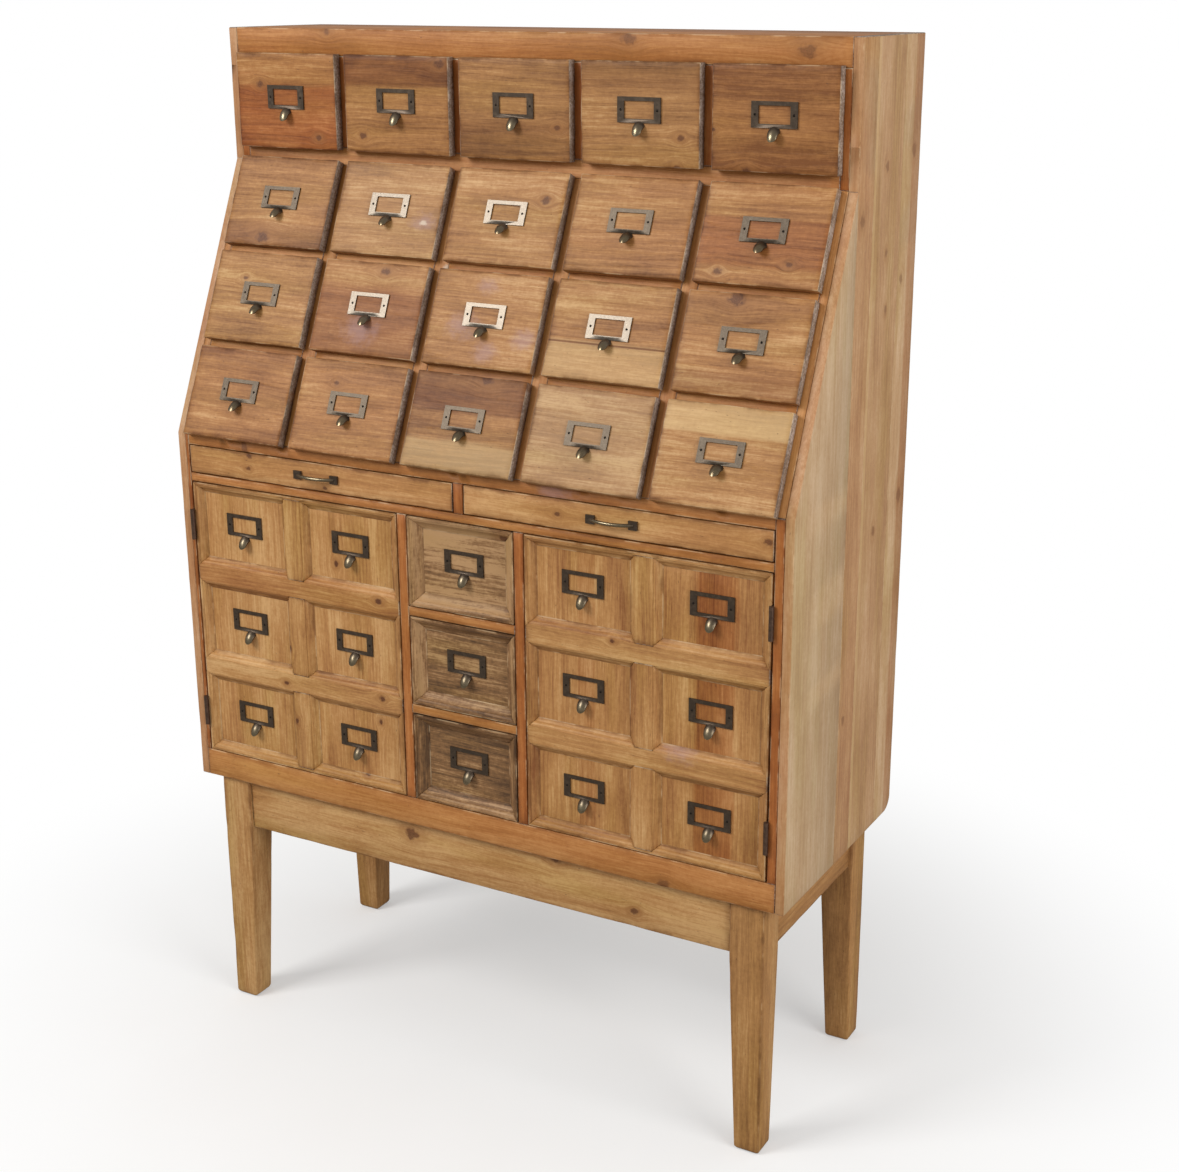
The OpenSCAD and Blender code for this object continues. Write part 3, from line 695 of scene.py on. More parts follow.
@dataclass(frozen=True)
class BronzeFinish:
    """Patinated brass, dark in its hollows and rubbed bright where fingers go."""

    name: str
    patina: str
    bare: str
    touched: str
    rough: float = 0.46
    rubbed: float = 0.5

    def material(self) -> bpy.types.Material:
        """Build the finish.

        Returns:
            Its material, which reads how often each place is touched.
        """
        plan = Plan(bpy.data.materials.new(self.name))
        where = plan.add("ShaderNodeTexCoord").outputs["Object"]
        touch = Value(plan, plan.attribute("touch").outputs["Fac"])
        cloud = plan.noise(where, *METAL_CLOUDS)
        grain = plan.noise(where, *METAL_GRAINS)
        worn = (cloud.step(0.42, 0.70) * self.rubbed + touch * 0.25).clamped()
        shade = plan.mix(worn, self.patina, self.bare)
        bright = (touch * (0.55 + cloud * 0.8)).clamped()
        shade = plan.mix(bright, shade, self.touched)
        rough = (self.rough + (cloud - 0.5) * 0.25 + (grain - 0.5) * 0.15 - touch * 0.14).clamped()
        return plan.finish(
            {"IOR": 1.5},
            cloud * 0.6 + grain * 0.4,
            METAL_RELIEF,
            METAL_RELIEF_SHOWN,
            Base_Color=shade,
            Roughness=rough,
            Metallic=0.82 + touch * 0.14,
        )


class Pine(Enum):
    """The pine finishes of the cabinet."""

    FRONT = PineFinish(
        "small_front_pine", "CFA470", "AF7C48", "7E5028", "84705F", contrast=1.1
    )
    FRAME = PineFinish(
        "frame_pine", "CC9258", "B0733C", "865022", "7A5235",
        contrast=0.85, ring_mm=5.0, grime=0.25, knots=0.7,
    )
    SIDE = PineFinish(
        "side_pine", "D4B592", "BE976E", "9C7250", "7A6048",
        contrast=0.9, ring_mm=7.0, grime=0.06, specks=0.3, knots=0.55,
    )
    STAND = PineFinish("stand_pine", "D0A670", "B3834F", "845A33", "6A4A30", grime=0.35)
    SHALLOW = PineFinish(
        "shallow_front_pine", "D8A973", "BB8652", "915F37", "6A5240", ring_mm=7.0
    )
    # The door's edge darkening is partly painted shade in the grooves around its panels.
    DOOR = PineFinish(
        "door_pine", "D5AA74", "BA8953", "8E5C34", "80592F",
        contrast=1.1, ring_mm=5.0, grime=0.36, knots=1.2,
    )
    DARK = PineFinish(
        "dark_pine", "BA9368", "8C6640", "553A23", "4A3A2C", contrast=1.75, grime=0.4
    )
    INNER = PineFinish(
        "inner_pine", "D2B07C", "C09A66", "A37B4C", "A07C52",
        contrast=0.8, ring_mm=7.0, grime=0.2, arris=0.2, rough=0.6,
    )


class Bronze(Enum):
    """The metal finishes of the cabinet."""

    DARK = BronzeFinish("dark_bronze", "52463B", "736352", "857860", 0.42, 0.35)
    # Paler and glossier than DULL: wear, and a painted sheen for the holders that reflect the key
    # light.
    WORN = BronzeFinish("worn_bronze", "655C51", "857A6D", "7A6B53", 0.34, 0.6)
    DULL = BronzeFinish("dull_bronze", "4A4035", "6B6052", "7A6B53", 0.40)
    IRON = BronzeFinish("hinge_iron", "57453A", "7A6050", "8A7462", 0.5)
    NAIL = BronzeFinish("nail_bronze", "1F1914", "4A3E33", "7A6A58", 0.45, 0.4)


class Finishes:
    """The cabinet's materials, each made once."""

    def __init__(self) -> None:
        """Start with none made."""
        self._made: dict[str, bpy.types.Material] = {}

    def of(self, choice: Union[Pine, Bronze]) -> bpy.types.Material:
        """Look up a material, which is made the first time it is asked for.

        Args:
            choice: The finish.

        Returns:
            Its material.
        """
        if choice.value.name not in self._made:
            self._made[choice.value.name] = choice.value.material()
        return self._made[choice.value.name]


# ----------------------------------------------------------- marks in the wood


class Region(Enum):
    """The faces of the cabinet on which a mark's place is given, in mm."""

    UPRIGHT = "from the left edge, above the top of the slope"
    SLOPE = "from the left edge, up the slope from its foot"
    LOWER = "from the left edge, above the foot of the case"
    SIDE = "behind the front, above the foot of the case"


class Kind(Enum):
    """What a mark is."""

    KNOT = 0.0
    STAIN = 1.0
    SCAR = -1.0


def on_region(region: Region, u: float, v: float) -> Vector:
    """Find a place on the cabinet.

    Args:
        region: The face that it is on.
        u: The first distance, in mm.
        v: The second distance, in mm.

    Returns:
        The place in the part's frame.
    """
    if region is Region.SIDE:
        return Vector((HALF_CASE_W, FRONT_Y + u * MM, CASE_FOOT_Z + v * MM))
    x = u * MM - HALF_CASE_W
    if region is Region.LOWER:
        return Vector((x, FRONT_Y, CASE_FOOT_Z + v * MM))
    if region is Region.UPRIGHT:
        return Vector((x, FRONT_Y + SLOPE_RUN, SLOPE_TOP_Z + v * MM))
    up = v * MM
    return Vector(
        (x, FRONT_Y + up * math.sin(SLOPE_ANGLE), SLOPE_FOOT_Z + up * math.cos(SLOPE_ANGLE))
    )


@dataclass(frozen=True)
class Spot:
    """A place on one board."""

    family: str
    region: Region
    u: float
    v: float


@dataclass(frozen=True)
class Mark(Spot):
    """A knot, stain or scar in one board."""

    size_mm: float
    kind: Kind = Kind.KNOT


@dataclass(frozen=True)
class Band(Spot):
    """A stretch of one board that is darker, paler or redder than the rest."""

    half_mm: float
    dark: float = 0.0
    red: float = 0.0


@dataclass(frozen=True)
class Look:
    """How far a board's colour lies from its finish's own."""

    tone: float = 0.0
    red: float = 0.0
    grey: float = 0.0


def marks_on(
    family: str, region: Region, rows: Iterable[tuple], kind: Kind = Kind.KNOT
) -> list[Mark]:
    """Make marks of one family and kind from rows of place and size."""
    return [Mark(family, region, *row, kind) for row in rows]


def bands_on(family: str, region: Region, rows: Iterable[tuple]) -> list[Band]:
    """Make bands of one family from rows of place, half width, darkness and redness."""
    return [Band(family, region, *row) for row in rows]


# Each row of a mark is its place and its size in mm.
MARKS: list[Mark] = [
    *marks_on(
        "drawer_",
        Region.UPRIGHT,
        [
            (150, 33, 4), (58, 98, 5), (222, 38, 4.5), (342, 130, 6), (512, 58, 4), (552, 115, 5),
            (680, 52, 4), (675, 18, 3.5), (765, 17, 6), (722, 64, 2.5),
        ],
    ),
    *marks_on(
        "drawer_",
        Region.SLOPE,
        [
            (83, 272, 9), (503, 345, 6), (235, 266, 3), (750, 275, 5), (838, 288, 4),
            (290, 240, 6), (783, 243, 9), (473, 117, 7), (525, 95, 7), (250, 90, 3.5),
            (876, 3, 9), (70, 215, 3),
        ],
    ),
    *marks_on(
        "drawer_",
        Region.SLOPE,
        [
            (332, 308, 8), (448, 233, 7), (420, 180, 11), (460, 150, 8), (270, 162, 13),
            (202, 20, 7), (512, 170, 9),
        ],
        Kind.STAIN,
    ),
    *marks_on("drawer_", Region.SLOPE, [(331, 306, 4), (462, 148, 3.5), (700, 195, 3)], Kind.SCAR),
    *marks_on("face_frame", Region.UPRIGHT, [(603, 163, 8), (833, 153, 9), (160, 166, 5)]),
    *marks_on("face_frame", Region.SLOPE, [(370, 254, 6)], Kind.SCAR),
    *marks_on("face_frame", Region.LOWER, [(738, 3, 7), (112, 489, 4)]),
    *marks_on("face_frame", Region.LOWER, [(588, 491, 12)], Kind.STAIN),
    *marks_on(
        "shallow_drawer", Region.LOWER,
        [(120, 477, 4), (117, 460, 3.5), (242, 449, 3), (868, 466, 5), (590, 462, 3)],
    ),
    *marks_on(
        "door_", Region.LOWER,
        [
            (248, 345, 3.5), (320, 307, 4.5), (165, 213, 4), (160, 165, 3.5), (320, 172, 4.5),
            (175, 112, 4), (310, 135, 3.5), (285, 55, 4), (665, 312, 3), (707, 52, 4),
        ],
    ),
    *marks_on("door_right", Region.LOWER, [(755, 190, 12)], Kind.STAIN),
    *marks_on("centre_drawer", Region.LOWER, [(508, 417, 6), (490, 335, 4), (400, 270, 5)]),
    *marks_on(
        "side_panels",
        Region.SIDE,
        [
            (333, 880, 9), (245, 866, 6), (172, 810, 8), (253, 764, 5), (308, 725, 6),
            (258, 695, 5), (335, 445, 9), (248, 420, 6), (245, 213, 6), (170, 195, 6),
        ],
    ),
    *marks_on("aprons", Region.LOWER, [(350, -22, 9), (575, -6, 7), (690, -52, 5)]),
]

# Each row of a band is its place, its half width in mm, its darkness and its redness.
BANDS: list[Band] = [
    *bands_on(
        "drawer_",
        Region.UPRIGHT,
        [
            (100, 30, 68, 0.05, 0.70), (275, 130, 28, 0.7, 0.15), (625, 125, 18, 0.3),
            (450, 40, 22, 0.35),
        ],
    ),
    *bands_on(
        "drawer_",
        Region.SLOPE,
        [
            (275, 160, 56, 0.35, 0.30), (625, 150, 25, -0.35), (625, 174, 1.1, 1.0),
            (800, 145, 12, 0.4), (450, 100, 27, 0.9), (450, 15, 20, -0.45),
            (800, 103, 19, -0.45), (800, 310, 30, 0.0, 0.4), (100, 275, 16, 0.35),
        ],
    ),
    *bands_on("door_left", Region.LOWER, [(150, 300, 22, 0.15, 0.3)]),
    *bands_on("door_right", Region.LOWER, [(800, 350, 26, 0.25, 0.55), (625, 350, 12, 0.2, 0.2)]),
    *bands_on("side_panels", Region.SIDE, [(345, 500, 16, 0.25, 0.4), (208, 500, 4, -0.4)]),
]

# The stain of each small front, from the top row down and from left to right.
FRONT_LOOKS: tuple[tuple[Look, ...], ...] = tuple(
    tuple(Look(*numbers) for numbers in row)
    for row in (
        ((0.12, 0.35), (0.20, 0.05), (0.24, 0.05, 0.05), (0.14, 0.0, 0.05), (0.58, 0.30)),
        ((0.42, 0.10), (0.08, 0.0, 0.08), (0.05, 0.05), (0.16, 0.20), (0.20, 0.25)),
        ((0.08,), (0.16, 0.10), (0.10, 0.10), (0.12, 0.10), (0.0, 0.15)),
        ((0.32, 0.30), (0.18, 0.25), (0.52, 0.05), (-0.16, 0.0, 0.22), (0.0,)),
    )
)

# The stain of the side boards from the front, of the legs, the doors and the other drawers.
SIDE_LOOKS: tuple[Look, ...] = (
    Look(-0.18, 0.0, 0.25), Look(0.16, 0.30), Look(0.20, 0.22, 0.05), Look(-0.06, 0.05, 0.10)
)
LEG_LOOKS: dict[str, Look] = {
    "front_left": Look(-0.20),
    "back_left": Look(0.0),
    "front_right": Look(0.22),
    "back_right": Look(0.22),
}
DOOR_TONES: dict[str, float] = {"left": -0.08, "right": 0.10}
CENTRE_LOOKS: dict[str, Look] = {
    "top": Look(-0.66, 0.1, 0.05),
    "middle": Look(-0.12, 0.1, 0.05),
    "bottom": Look(0.32, 0.1, 0.05),
}
SHALLOW_LOOKS: dict[str, Look] = {"left": Look(0.12), "right": Look(0.0)}

# The small drawers whose label holders get the paler, glossier bronze: a painted sheen where the
# sloped holders reflect the key light.
SHEEN_HOLDERS = ("r2c2", "r2c3", "r3c2", "r3c3", "r3c4")


# ----------------------------------------------------------------- wooden work


@dataclass(frozen=True)
class Wear:
    """How a board is softened and worn, in mm."""

    round_mm: float = 0.8
    joint_mm: float = 0.25
    cut_mm: float = 0.0
    cross_mm: float = 0.0
    dent_mm: float = 0.0
    dip_mm: float = 0.0


UPRIGHT_AXES = (Vector((1, 0, 0)), Vector((0, 0, 1)), Vector((0, -1, 0)))
SLOPE_AXES = (
    Vector((1, 0, 0)),
    Vector((0, math.sin(SLOPE_ANGLE), math.cos(SLOPE_ANGLE))),
    Vector((0, -math.cos(SLOPE_ANGLE), math.sin(SLOPE_ANGLE))),
)
AXES = ((UPRIGHT_AXES, False), (SLOPE_AXES, True))

# What counts as an edge, as one plane, as one point and as touching.
SHARP_DEG = 30.0
SAME_PLANE_DEG = 0.6
SAME_POINT = 2e-6
ON_CUT = 1e-7
TOUCHING = 0.0004
SLOPE_DOUBT = 1.0001

# How far a mark's place may lie off a board's outline and in front of its face.
OVERHANG = 0.001
FRONT_EDGE = 0.0008
FRONT_SET_BACK = 0.0095
STAND_SET_BACK = 0.035

# How wide the worn edge is, and how chips and dips lie in it.
WORN_EDGE = 0.0045
CHIPS_PER_M = 42.0
DIPS_PER_M = 16.0
CHIP_SHARE = 1.8
DIP_SHARE = 0.3
FEWER_CHIPS = 0.10
SEED_SPREAD = (31, 17, 11)


def behind_front(point: Vector) -> float:
    """Return how far a point lies behind the face of the case, upright or sloping."""
    rise = (point.z - SLOPE_FOOT_Z) / (SLOPE_TOP_Z - SLOPE_FOOT_Z)
    return point.y - FRONT_Y - SLOPE_RUN * min(max(rise, 0.0), 1.0)


class Board:
    """One solid of a CAD node, with its own grain axes."""

    def __init__(self, shape: bmesh.types.BMesh, sloped: Optional[bool] = None) -> None:
        """Measure a board and lay its grain along its longest side.

        Args:
            shape: The board's own mesh.
            sloped: Whether it follows the slope; None finds out by its size.
        """
        self.shape = shape
        points = [vert.co.copy() for vert in shape.verts]
        self.low = Vector([min(p[i] for p in points) for i in range(3)])
        self.high = Vector([max(p[i] for p in points) for i in range(3)])
        sets = [axes for axes, slope in AXES if sloped is None or slope is sloped]
        fits = [self._spans(points, axes) for axes in sets]
        sizes = [math.prod(high - low for low, high in fit) for fit in fits]
        best = 0 if len(sets) == 1 or sizes[0] <= sizes[1] * SLOPE_DOUBT else 1
        axes, spans = sets[best], fits[best]
        order = sorted(range(3), key=lambda i: spans[i][0] - spans[i][1])
        self.axes = [axes[i] for i in order]
        self.half = [(spans[i][1] - spans[i][0]) / 2 for i in order]
        self.middle = [(spans[i][1] + spans[i][0]) / 2 for i in order]
        self.look = Look()
        self.front_look: Optional[Look] = None
        self.seed = 0.0
        self.marks: list[tuple[Vector, float, float]] = []
        self.bands: list[tuple[float, float, float, float]] = []
        self.beside: list["Board"] = []

    @staticmethod
    def _spans(points: Sequence[Vector], axes: Sequence[Vector]) -> list[tuple[float, float]]:
        """Return the lowest and highest reach of some points along each axis."""
        return [
            (min(p.dot(axis) for p in points), max(p.dot(axis) for p in points)) for axis in axes
        ]

    def local(self, point: Vector) -> Vector:
        """Return a point's place along, across and through the board from its middle."""
        return Vector([point.dot(axis) - mid for axis, mid in zip(self.axes, self.middle)])

    def miss(self, point: Vector) -> float:
        """Say how far a point on the cabinet's face misses this board.

        Args:
            point: The place.

        Returns:
            The distance off its face, or a large number beside the board.
        """
        gap = [abs(value) - half for value, half in zip(self.local(point), self.half)]
        set_back = STAND_SET_BACK if point.z < CASE_FOOT_Z else FRONT_SET_BACK
        beside = max(gap[0], gap[1]) > OVERHANG or gap[2] > set_back
        return FAR_AWAY if beside else max(gap[2], 0.0)

    def edge_gap(self, point: Vector) -> float:
        """Return the distance from a place on the surface to the nearest edge."""
        return sorted(half - abs(value) for value, half in zip(self.local(point), self.half))[1]

    def soften(self, wear: Wear, others: Sequence["Board"]) -> None:
        """Round the edges, less where another board lies against them.

        Args:
            wear: How much.
            others: The boards around it.
        """
        self.beside = [
            board
            for board in others
            if board is not self
            and all(
                board.low[i] - TOUCHING < self.high[i] and board.high[i] + TOUCHING > self.low[i]
                for i in range(3)
            )
        ]
        for radius_mm, joint in ((wear.round_mm, False), (wear.joint_mm, True)):
            edges = [
                edge
                for edge in self.shape.edges
                if edge.is_manifold
                and edge.calc_face_angle(0.0) > math.radians(SHARP_DEG)
                and self.at_joint((edge.verts[0].co + edge.verts[1].co) / 2) is joint
            ]
            if edges and radius_mm > 0:
                bmesh.ops.bevel(
                    self.shape,
                    geom=edges,
                    offset=radius_mm * MM,
                    offset_type="OFFSET",
                    affect="EDGES",
                    segments=1 if joint else 2,
                    profile=0.5,
                    material=-1,
                    clamp_overlap=True,
                )

    def at_joint(self, point: Vector) -> bool:
        """Say whether another board lies against a place on this one."""
        return any(
            all(abs(v) < h + TOUCHING for v, h in zip(board.local(point), board.half))
            for board in self.beside
        )

    def slice(self, wear: Wear) -> None:
        """Cut the faces across and along the grain, so that they can be worn unevenly.

        Args:
            wear: How far apart the cuts lie.
        """
        for step_mm, which in ((wear.cut_mm, 0), (wear.cross_mm, 1)):
            if step_mm <= 0:
                continue
            count = int(2 * self.half[which] / (step_mm * MM))
            for index in range(1, count):
                reach = -self.half[which] + 2 * self.half[which] * index / count
                point = self.axes[which] * (self.middle[which] + reach)
                bmesh.ops.bisect_plane(
                    self.shape,
                    geom=self.shape.verts[:] + self.shape.edges[:] + self.shape.faces[:],
                    dist=ON_CUT,
                    plane_co=point,
                    plane_no=self.axes[which],
                )

    def rub(self, wear: Wear) -> None:
        """Wear the surface inwards, most of all along its edges.

        Args:
            wear: How deep the dents and dips are.
        """
        if wear.dent_mm <= 0 and wear.dip_mm <= 0:
            return
        self.shape.normal_update()
        shift = Vector([self.seed * spread for spread in SEED_SPREAD])
        moves = []
        for vert in self.shape.verts:
            near = max(0.0, 1.0 - self.edge_gap(vert.co) / WORN_EDGE)
            chip = max(0.0, noise.noise((vert.co + shift) * CHIPS_PER_M) - FEWER_CHIPS)
            slow = noise.noise((vert.co + shift) * DIPS_PER_M) * 0.5 + 0.5
            worn = near * (chip * CHIP_SHARE + slow * DIP_SHARE)
            dent = 0.0 if self.at_joint(vert.co) else worn
            depth = wear.dip_mm * slow + wear.dent_mm * dent
            moves.append((vert, vert.normal * (depth * MM)))
        for vert, move in moves:
            vert.co -= move

    def look_at(self, point: Vector) -> Look:
        """Return the look at a point, which may differ along the front edge."""
        at_front = self.front_look and behind_front(point) < FRONT_EDGE
        return self.front_look if at_front else self.look

    def attributes(self, points: Sequence[Vector]) -> dict[str, list[float]]:
        """Work out what the finish needs at each point.

        Args:
            points: The board's points.

        Returns:
            Flat lists of numbers by attribute name.
        """
        local = [self.local(point) for point in points]
        looks = [self.look_at(point) for point in points]
        rows = {
            "local": [value for row in local for value in row],
            "half": list(self.half) * len(points),
            "look": [n for look in looks for n in (look.tone, look.red, look.grey, self.seed)],
        }
        for index in range(MAX_KNOTS):
            flat = [FAR_AWAY, FAR_AWAY, 0.0] * len(points)
            if index < len(self.marks):
                spot, radius, kind = self.marks[index]
                flat = [
                    n
                    for row in local
                    for n in ((row[0] - spot[0]) / radius, (row[1] - spot[1]) / radius, kind)
                ]
            rows[f"knot{index}"] = flat
        for index in range(MAX_BANDS):
            flat = [FAR_AWAY, 0.0, 0.0] * len(points)
            if index < len(self.bands):
                middle, half, dark, red = self.bands[index]
                flat = [n for row in local for n in ((row[1] - middle) / half, dark, red)]
            rows[f"band{index}"] = flat
        return rows


def merged(node: str) -> bmesh.types.BMesh:
    """Copy a CAD node with its doubles merged and its flat faces whole.

    Args:
        node: The node's name.

    Returns:
        The new mesh.
    """
    shape = bmesh.new()
    shape.from_mesh(frame["nodes"][node].data)
    bmesh.ops.remove_doubles(shape, verts=shape.verts, dist=SAME_POINT)
    bmesh.ops.dissolve_limit(
        shape, angle_limit=math.radians(SAME_PLANE_DEG), verts=shape.verts, edges=shape.edges
    )
    return shape


def solids(shape: bmesh.types.BMesh) -> list[bmesh.types.BMesh]:
    """Part a mesh into its separate solids.

    Args:
        shape: The mesh, which is freed.

    Returns:
        One mesh for each solid, in order.
    """
    found: list[bmesh.types.BMesh] = []
    shape.verts.index_update()
    shape.verts.ensure_lookup_table()
    seen: set[int] = set()
    for start in shape.verts:
        if start.index in seen:
            continue
        group, waiting = {start.index}, [start]
        while waiting:
            for edge in waiting.pop().link_edges:
                for vert in edge.verts:
                    if vert.index not in group:
                        group.add(vert.index)
                        waiting.append(vert)
        seen |= group
        part = shape.copy()
        part.verts.ensure_lookup_table()
        beside = [vert for index, vert in enumerate(part.verts) if index not in group]
        bmesh.ops.delete(part, geom=beside, context="VERTS")
        found.append(part)
    shape.free()
    return found


class Joined:
    """Several solids made into one mesh, with their attributes."""

    KINDS = {"look": ("FLOAT_COLOR", "color"), "touch": ("FLOAT", "value")}
    OTHER_KIND = ("FLOAT_VECTOR", "vector")

    def __init__(self) -> None:
        """Start with no solid."""
        self._whole = bmesh.new()
        self._rows: dict[str, list[float]] = {}

    def take(self, shape: bmesh.types.BMesh) -> list[Vector]:
        """Add a solid.

        Args:
            shape: Its mesh, which is freed.

        Returns:
            Its points.
        """
        single = bpy.data.meshes.new("solid")
        shape.to_mesh(single)
        shape.free()
        self._whole.from_mesh(single)
        points = [vert.co.copy() for vert in single.vertices]
        bpy.data.meshes.remove(single)
        return points

    def tell(self, rows: Mapping[str, Sequence[float]]) -> None:
        """Add the attributes of the solid that was taken last."""
        for key, flat in rows.items():
            self._rows.setdefault(key, []).extend(flat)

    def mesh(self, name: str) -> bpy.types.Mesh:
        """Make the mesh.

        Args:
            name: Its name.

        Returns:
            The mesh, with every attribute.
        """
        mesh = bpy.data.meshes.new(name)
        self._whole.to_mesh(mesh)
        self._whole.free()
        for key, flat in self._rows.items():
            kind, item = self.KINDS.get(key, self.OTHER_KIND)
            mesh.attributes.new(key, kind, "POINT").data.foreach_set(item, flat)
        return mesh


def body_of(node: str) -> str:
    """Return the body that a CAD node rides on."""
    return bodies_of(frame["nodes"][node])[0]


# Edges bent by more than this stay crisp.
WOOD_SMOOTH_DEG = 40.0
METAL_SMOOTH_DEG = 32.0


def put_piece(
    name: str,
    mesh: bpy.types.Mesh,
    node: str,
    slot: str,
    material: bpy.types.Material,
    smooth_deg: float = WOOD_SMOOTH_DEG,
) -> bpy.types.Object:
    """Place a finished piece instead of its CAD node.

    Args:
        name: The piece's name.
        mesh: Its mesh, in place.
        node: The node that it stands for.
        slot: The record's material slot; not used.
        material: Its finish.
        smooth_deg: Edges bent by more than this stay crisp.

    Returns:
        The piece.
    """
    mesh.name = name
    mesh.materials.clear()
    mesh.materials.append(material)
    mesh.polygons.foreach_set("use_smooth", [True] * len(mesh.polygons))
    mesh.set_sharp_from_angle(angle=math.radians(smooth_deg))
    piece = bpy.data.objects.new(name, mesh)
    bpy.context.scene.collection.objects.link(piece)
    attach(piece, body_of(node))
    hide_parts(node)
    LOG.info("%s: %d faces on %s", name, len(mesh.polygons), body_of(node))
    return piece


# How far the boards of one node differ from each other.
TONES = (-0.12, 0.14)
REDS = (0.0, 0.18)


@dataclass
class WoodWork:
    """The boards of one CAD node, dressed as one piece or as several."""

    node: str
    finishes: Finishes
    sloped: Optional[bool] = None
    boards: list[Board] = field(default_factory=list)

    def __post_init__(self) -> None:
        """Cut the node into its boards and give each its marks."""
        self.boards = [Board(shape, self.sloped) for shape in solids(merged(self.node))]
        for index, board in enumerate(self.boards):
            draw = random.Random(f"{self.node}/{index}")
            board.seed = draw.random()
            board.look = Look(draw.uniform(*TONES), draw.uniform(*REDS))
        for mark in MARKS:
            board, point = self._under(mark)
            if board and len(board.marks) < MAX_KNOTS:
                board.marks.append((board.local(point), mark.size_mm * MM, mark.kind.value))
        for band in BANDS:
            board, point = self._under(band)
            if board and len(board.bands) < MAX_BANDS:
                middle = board.local(point)[1]
                board.bands.append((middle, band.half_mm * MM, band.dark, band.red))

    def _under(self, spot: Spot) -> tuple[Optional[Board], Vector]:
        """Find the board whose face holds a mark or a band.

        Args:
            spot: The mark or the band.

        Returns:
            The board, or None, and the place of the spot.
        """
        point = on_region(spot.region, spot.u, spot.v)
        if not self.node.startswith(spot.family):
            return None, point
        best = min(self.boards, key=lambda board: board.miss(point))
        return (best if best.miss(point) < FAR_AWAY else None), point

    def dress(
        self, name: str, boards: Sequence[Board], slot: str, finish: Pine, wear: Wear
    ) -> bpy.types.Object:
        """Make one piece of some of the boards.

        Args:
            name: The piece's name.
            boards: The boards in it.
            slot: The record's material slot.
            finish: How it is finished.
            wear: How it is worn.

        Returns:
            The piece.
        """
        joined = Joined()
        for board in boards:
            board.soften(wear, self.boards)
            board.slice(wear)
            board.rub(wear)
            joined.tell(board.attributes(joined.take(board.shape)))
        return put_piece(name, joined.mesh(name), self.node, slot, self.finishes.of(finish))


# -------------------------------------------------------------- sub-assemblies


@dataclass
class Case:
    """The case: two side panels, the boards inside, the back and the face frame."""

    finishes: Finishes
    panel_wear: Wear = Wear(1.3, 0.06, cut_mm=24.0, dent_mm=0.5)
    frame_wear: Wear = Wear(0.9, 0.22, cut_mm=14.0, dent_mm=0.45, dip_mm=0.12)
    inner_wear: Wear = Wear(0.6, 0.2)
    panel_front: Look = Look(-0.05, 0.62)
    upright_frame: Look = Look(0.04, 0.70)
    level_frame: Look = Look(0.0, 0.05)
    foot_rail: Look = Look(-0.22, 0.05)
    slope_post: Look = Look(-0.35)
    slope_paler: float = 0.15
    own_tone: float = 0.7
    back_red: float = 0.25
    back_grey: float = 0.05
    back_board: float = 0.009
    top_from: float = 1.36
    corner_post: float = 0.030
    foot_reach: float = 0.01
    slope_reach: float = 0.05
    upright_from: float = 0.5

    def build(self) -> None:
        """Dress the three nodes of the case."""
        self._side_panels()
        self._boards()
        self._face_frame()

    def _side_panels(self) -> None:
        """Dress each side panel, with its front edge coloured like the frame."""
        panels = WoodWork("side_panels", self.finishes, False)
        for side, name in ((-1, "side_panel_left"), (1, "side_panel_right")):
            boards = [b for b in panels.boards if (b.low.x + b.high.x) * side > 0]
            boards.sort(key=lambda board: board.low.y)
            for board, look in zip(boards, SIDE_LOOKS):
                board.look = look
                board.front_look = self.panel_front
            panels.dress(name, boards, "side_boards", Pine.SIDE, self.panel_wear)

    def _boards(self) -> None:
        """Dress the top, the back and the boards inside."""
        inner = WoodWork("carcass_boards", self.finishes, False)
        back_y = max(board.high.y for board in inner.boards) - self.back_board
        top = [b for b in inner.boards if b.high.z > self.top_from and b.low.y < back_y]
        back = [b for b in inner.boards if b.low.y >= back_y]
        rest = [b for b in inner.boards if b not in top and b not in back]
        for board in back:
            board.look = Look(board.look.tone, self.back_red, self.back_grey)
        inner.dress("top_board", top, "inner_boards", Pine.FRAME, self.frame_wear)
        inner.dress("back_boards", back, "inner_boards", Pine.INNER, self.inner_wear)
        inner.dress("inner_boards", rest, "inner_boards", Pine.INNER, self.inner_wear)

    def _face_frame(self) -> None:
        """Dress the frame, with red uprights and a paler part around the slope."""
        face = WoodWork("face_frame", self.finishes)
        for board in face.boards:
            upright = board.axes[0].z > self.upright_from
            foot = board.low.z < CASE_FOOT_Z + self.foot_reach
            side = min(abs(board.low.x), abs(board.high.x)) > HALF_CASE_W - self.corner_post
            kind = self.foot_rail if foot else self.level_frame
            kind = self.upright_frame if upright else kind
            tone = board.look.tone * self.own_tone + kind.tone
            board.look = Look(tone, kind.red)
            if board.high.z > SLOPE_FOOT_Z + self.slope_reach and board.low.z < SLOPE_TOP_Z:
                paler = Look(tone - self.slope_paler)
                board.look = self.slope_post if side and upright else paler
        face.dress("face_frame_rails", face.boards, "frame_wood", Pine.FRAME, self.frame_wear)


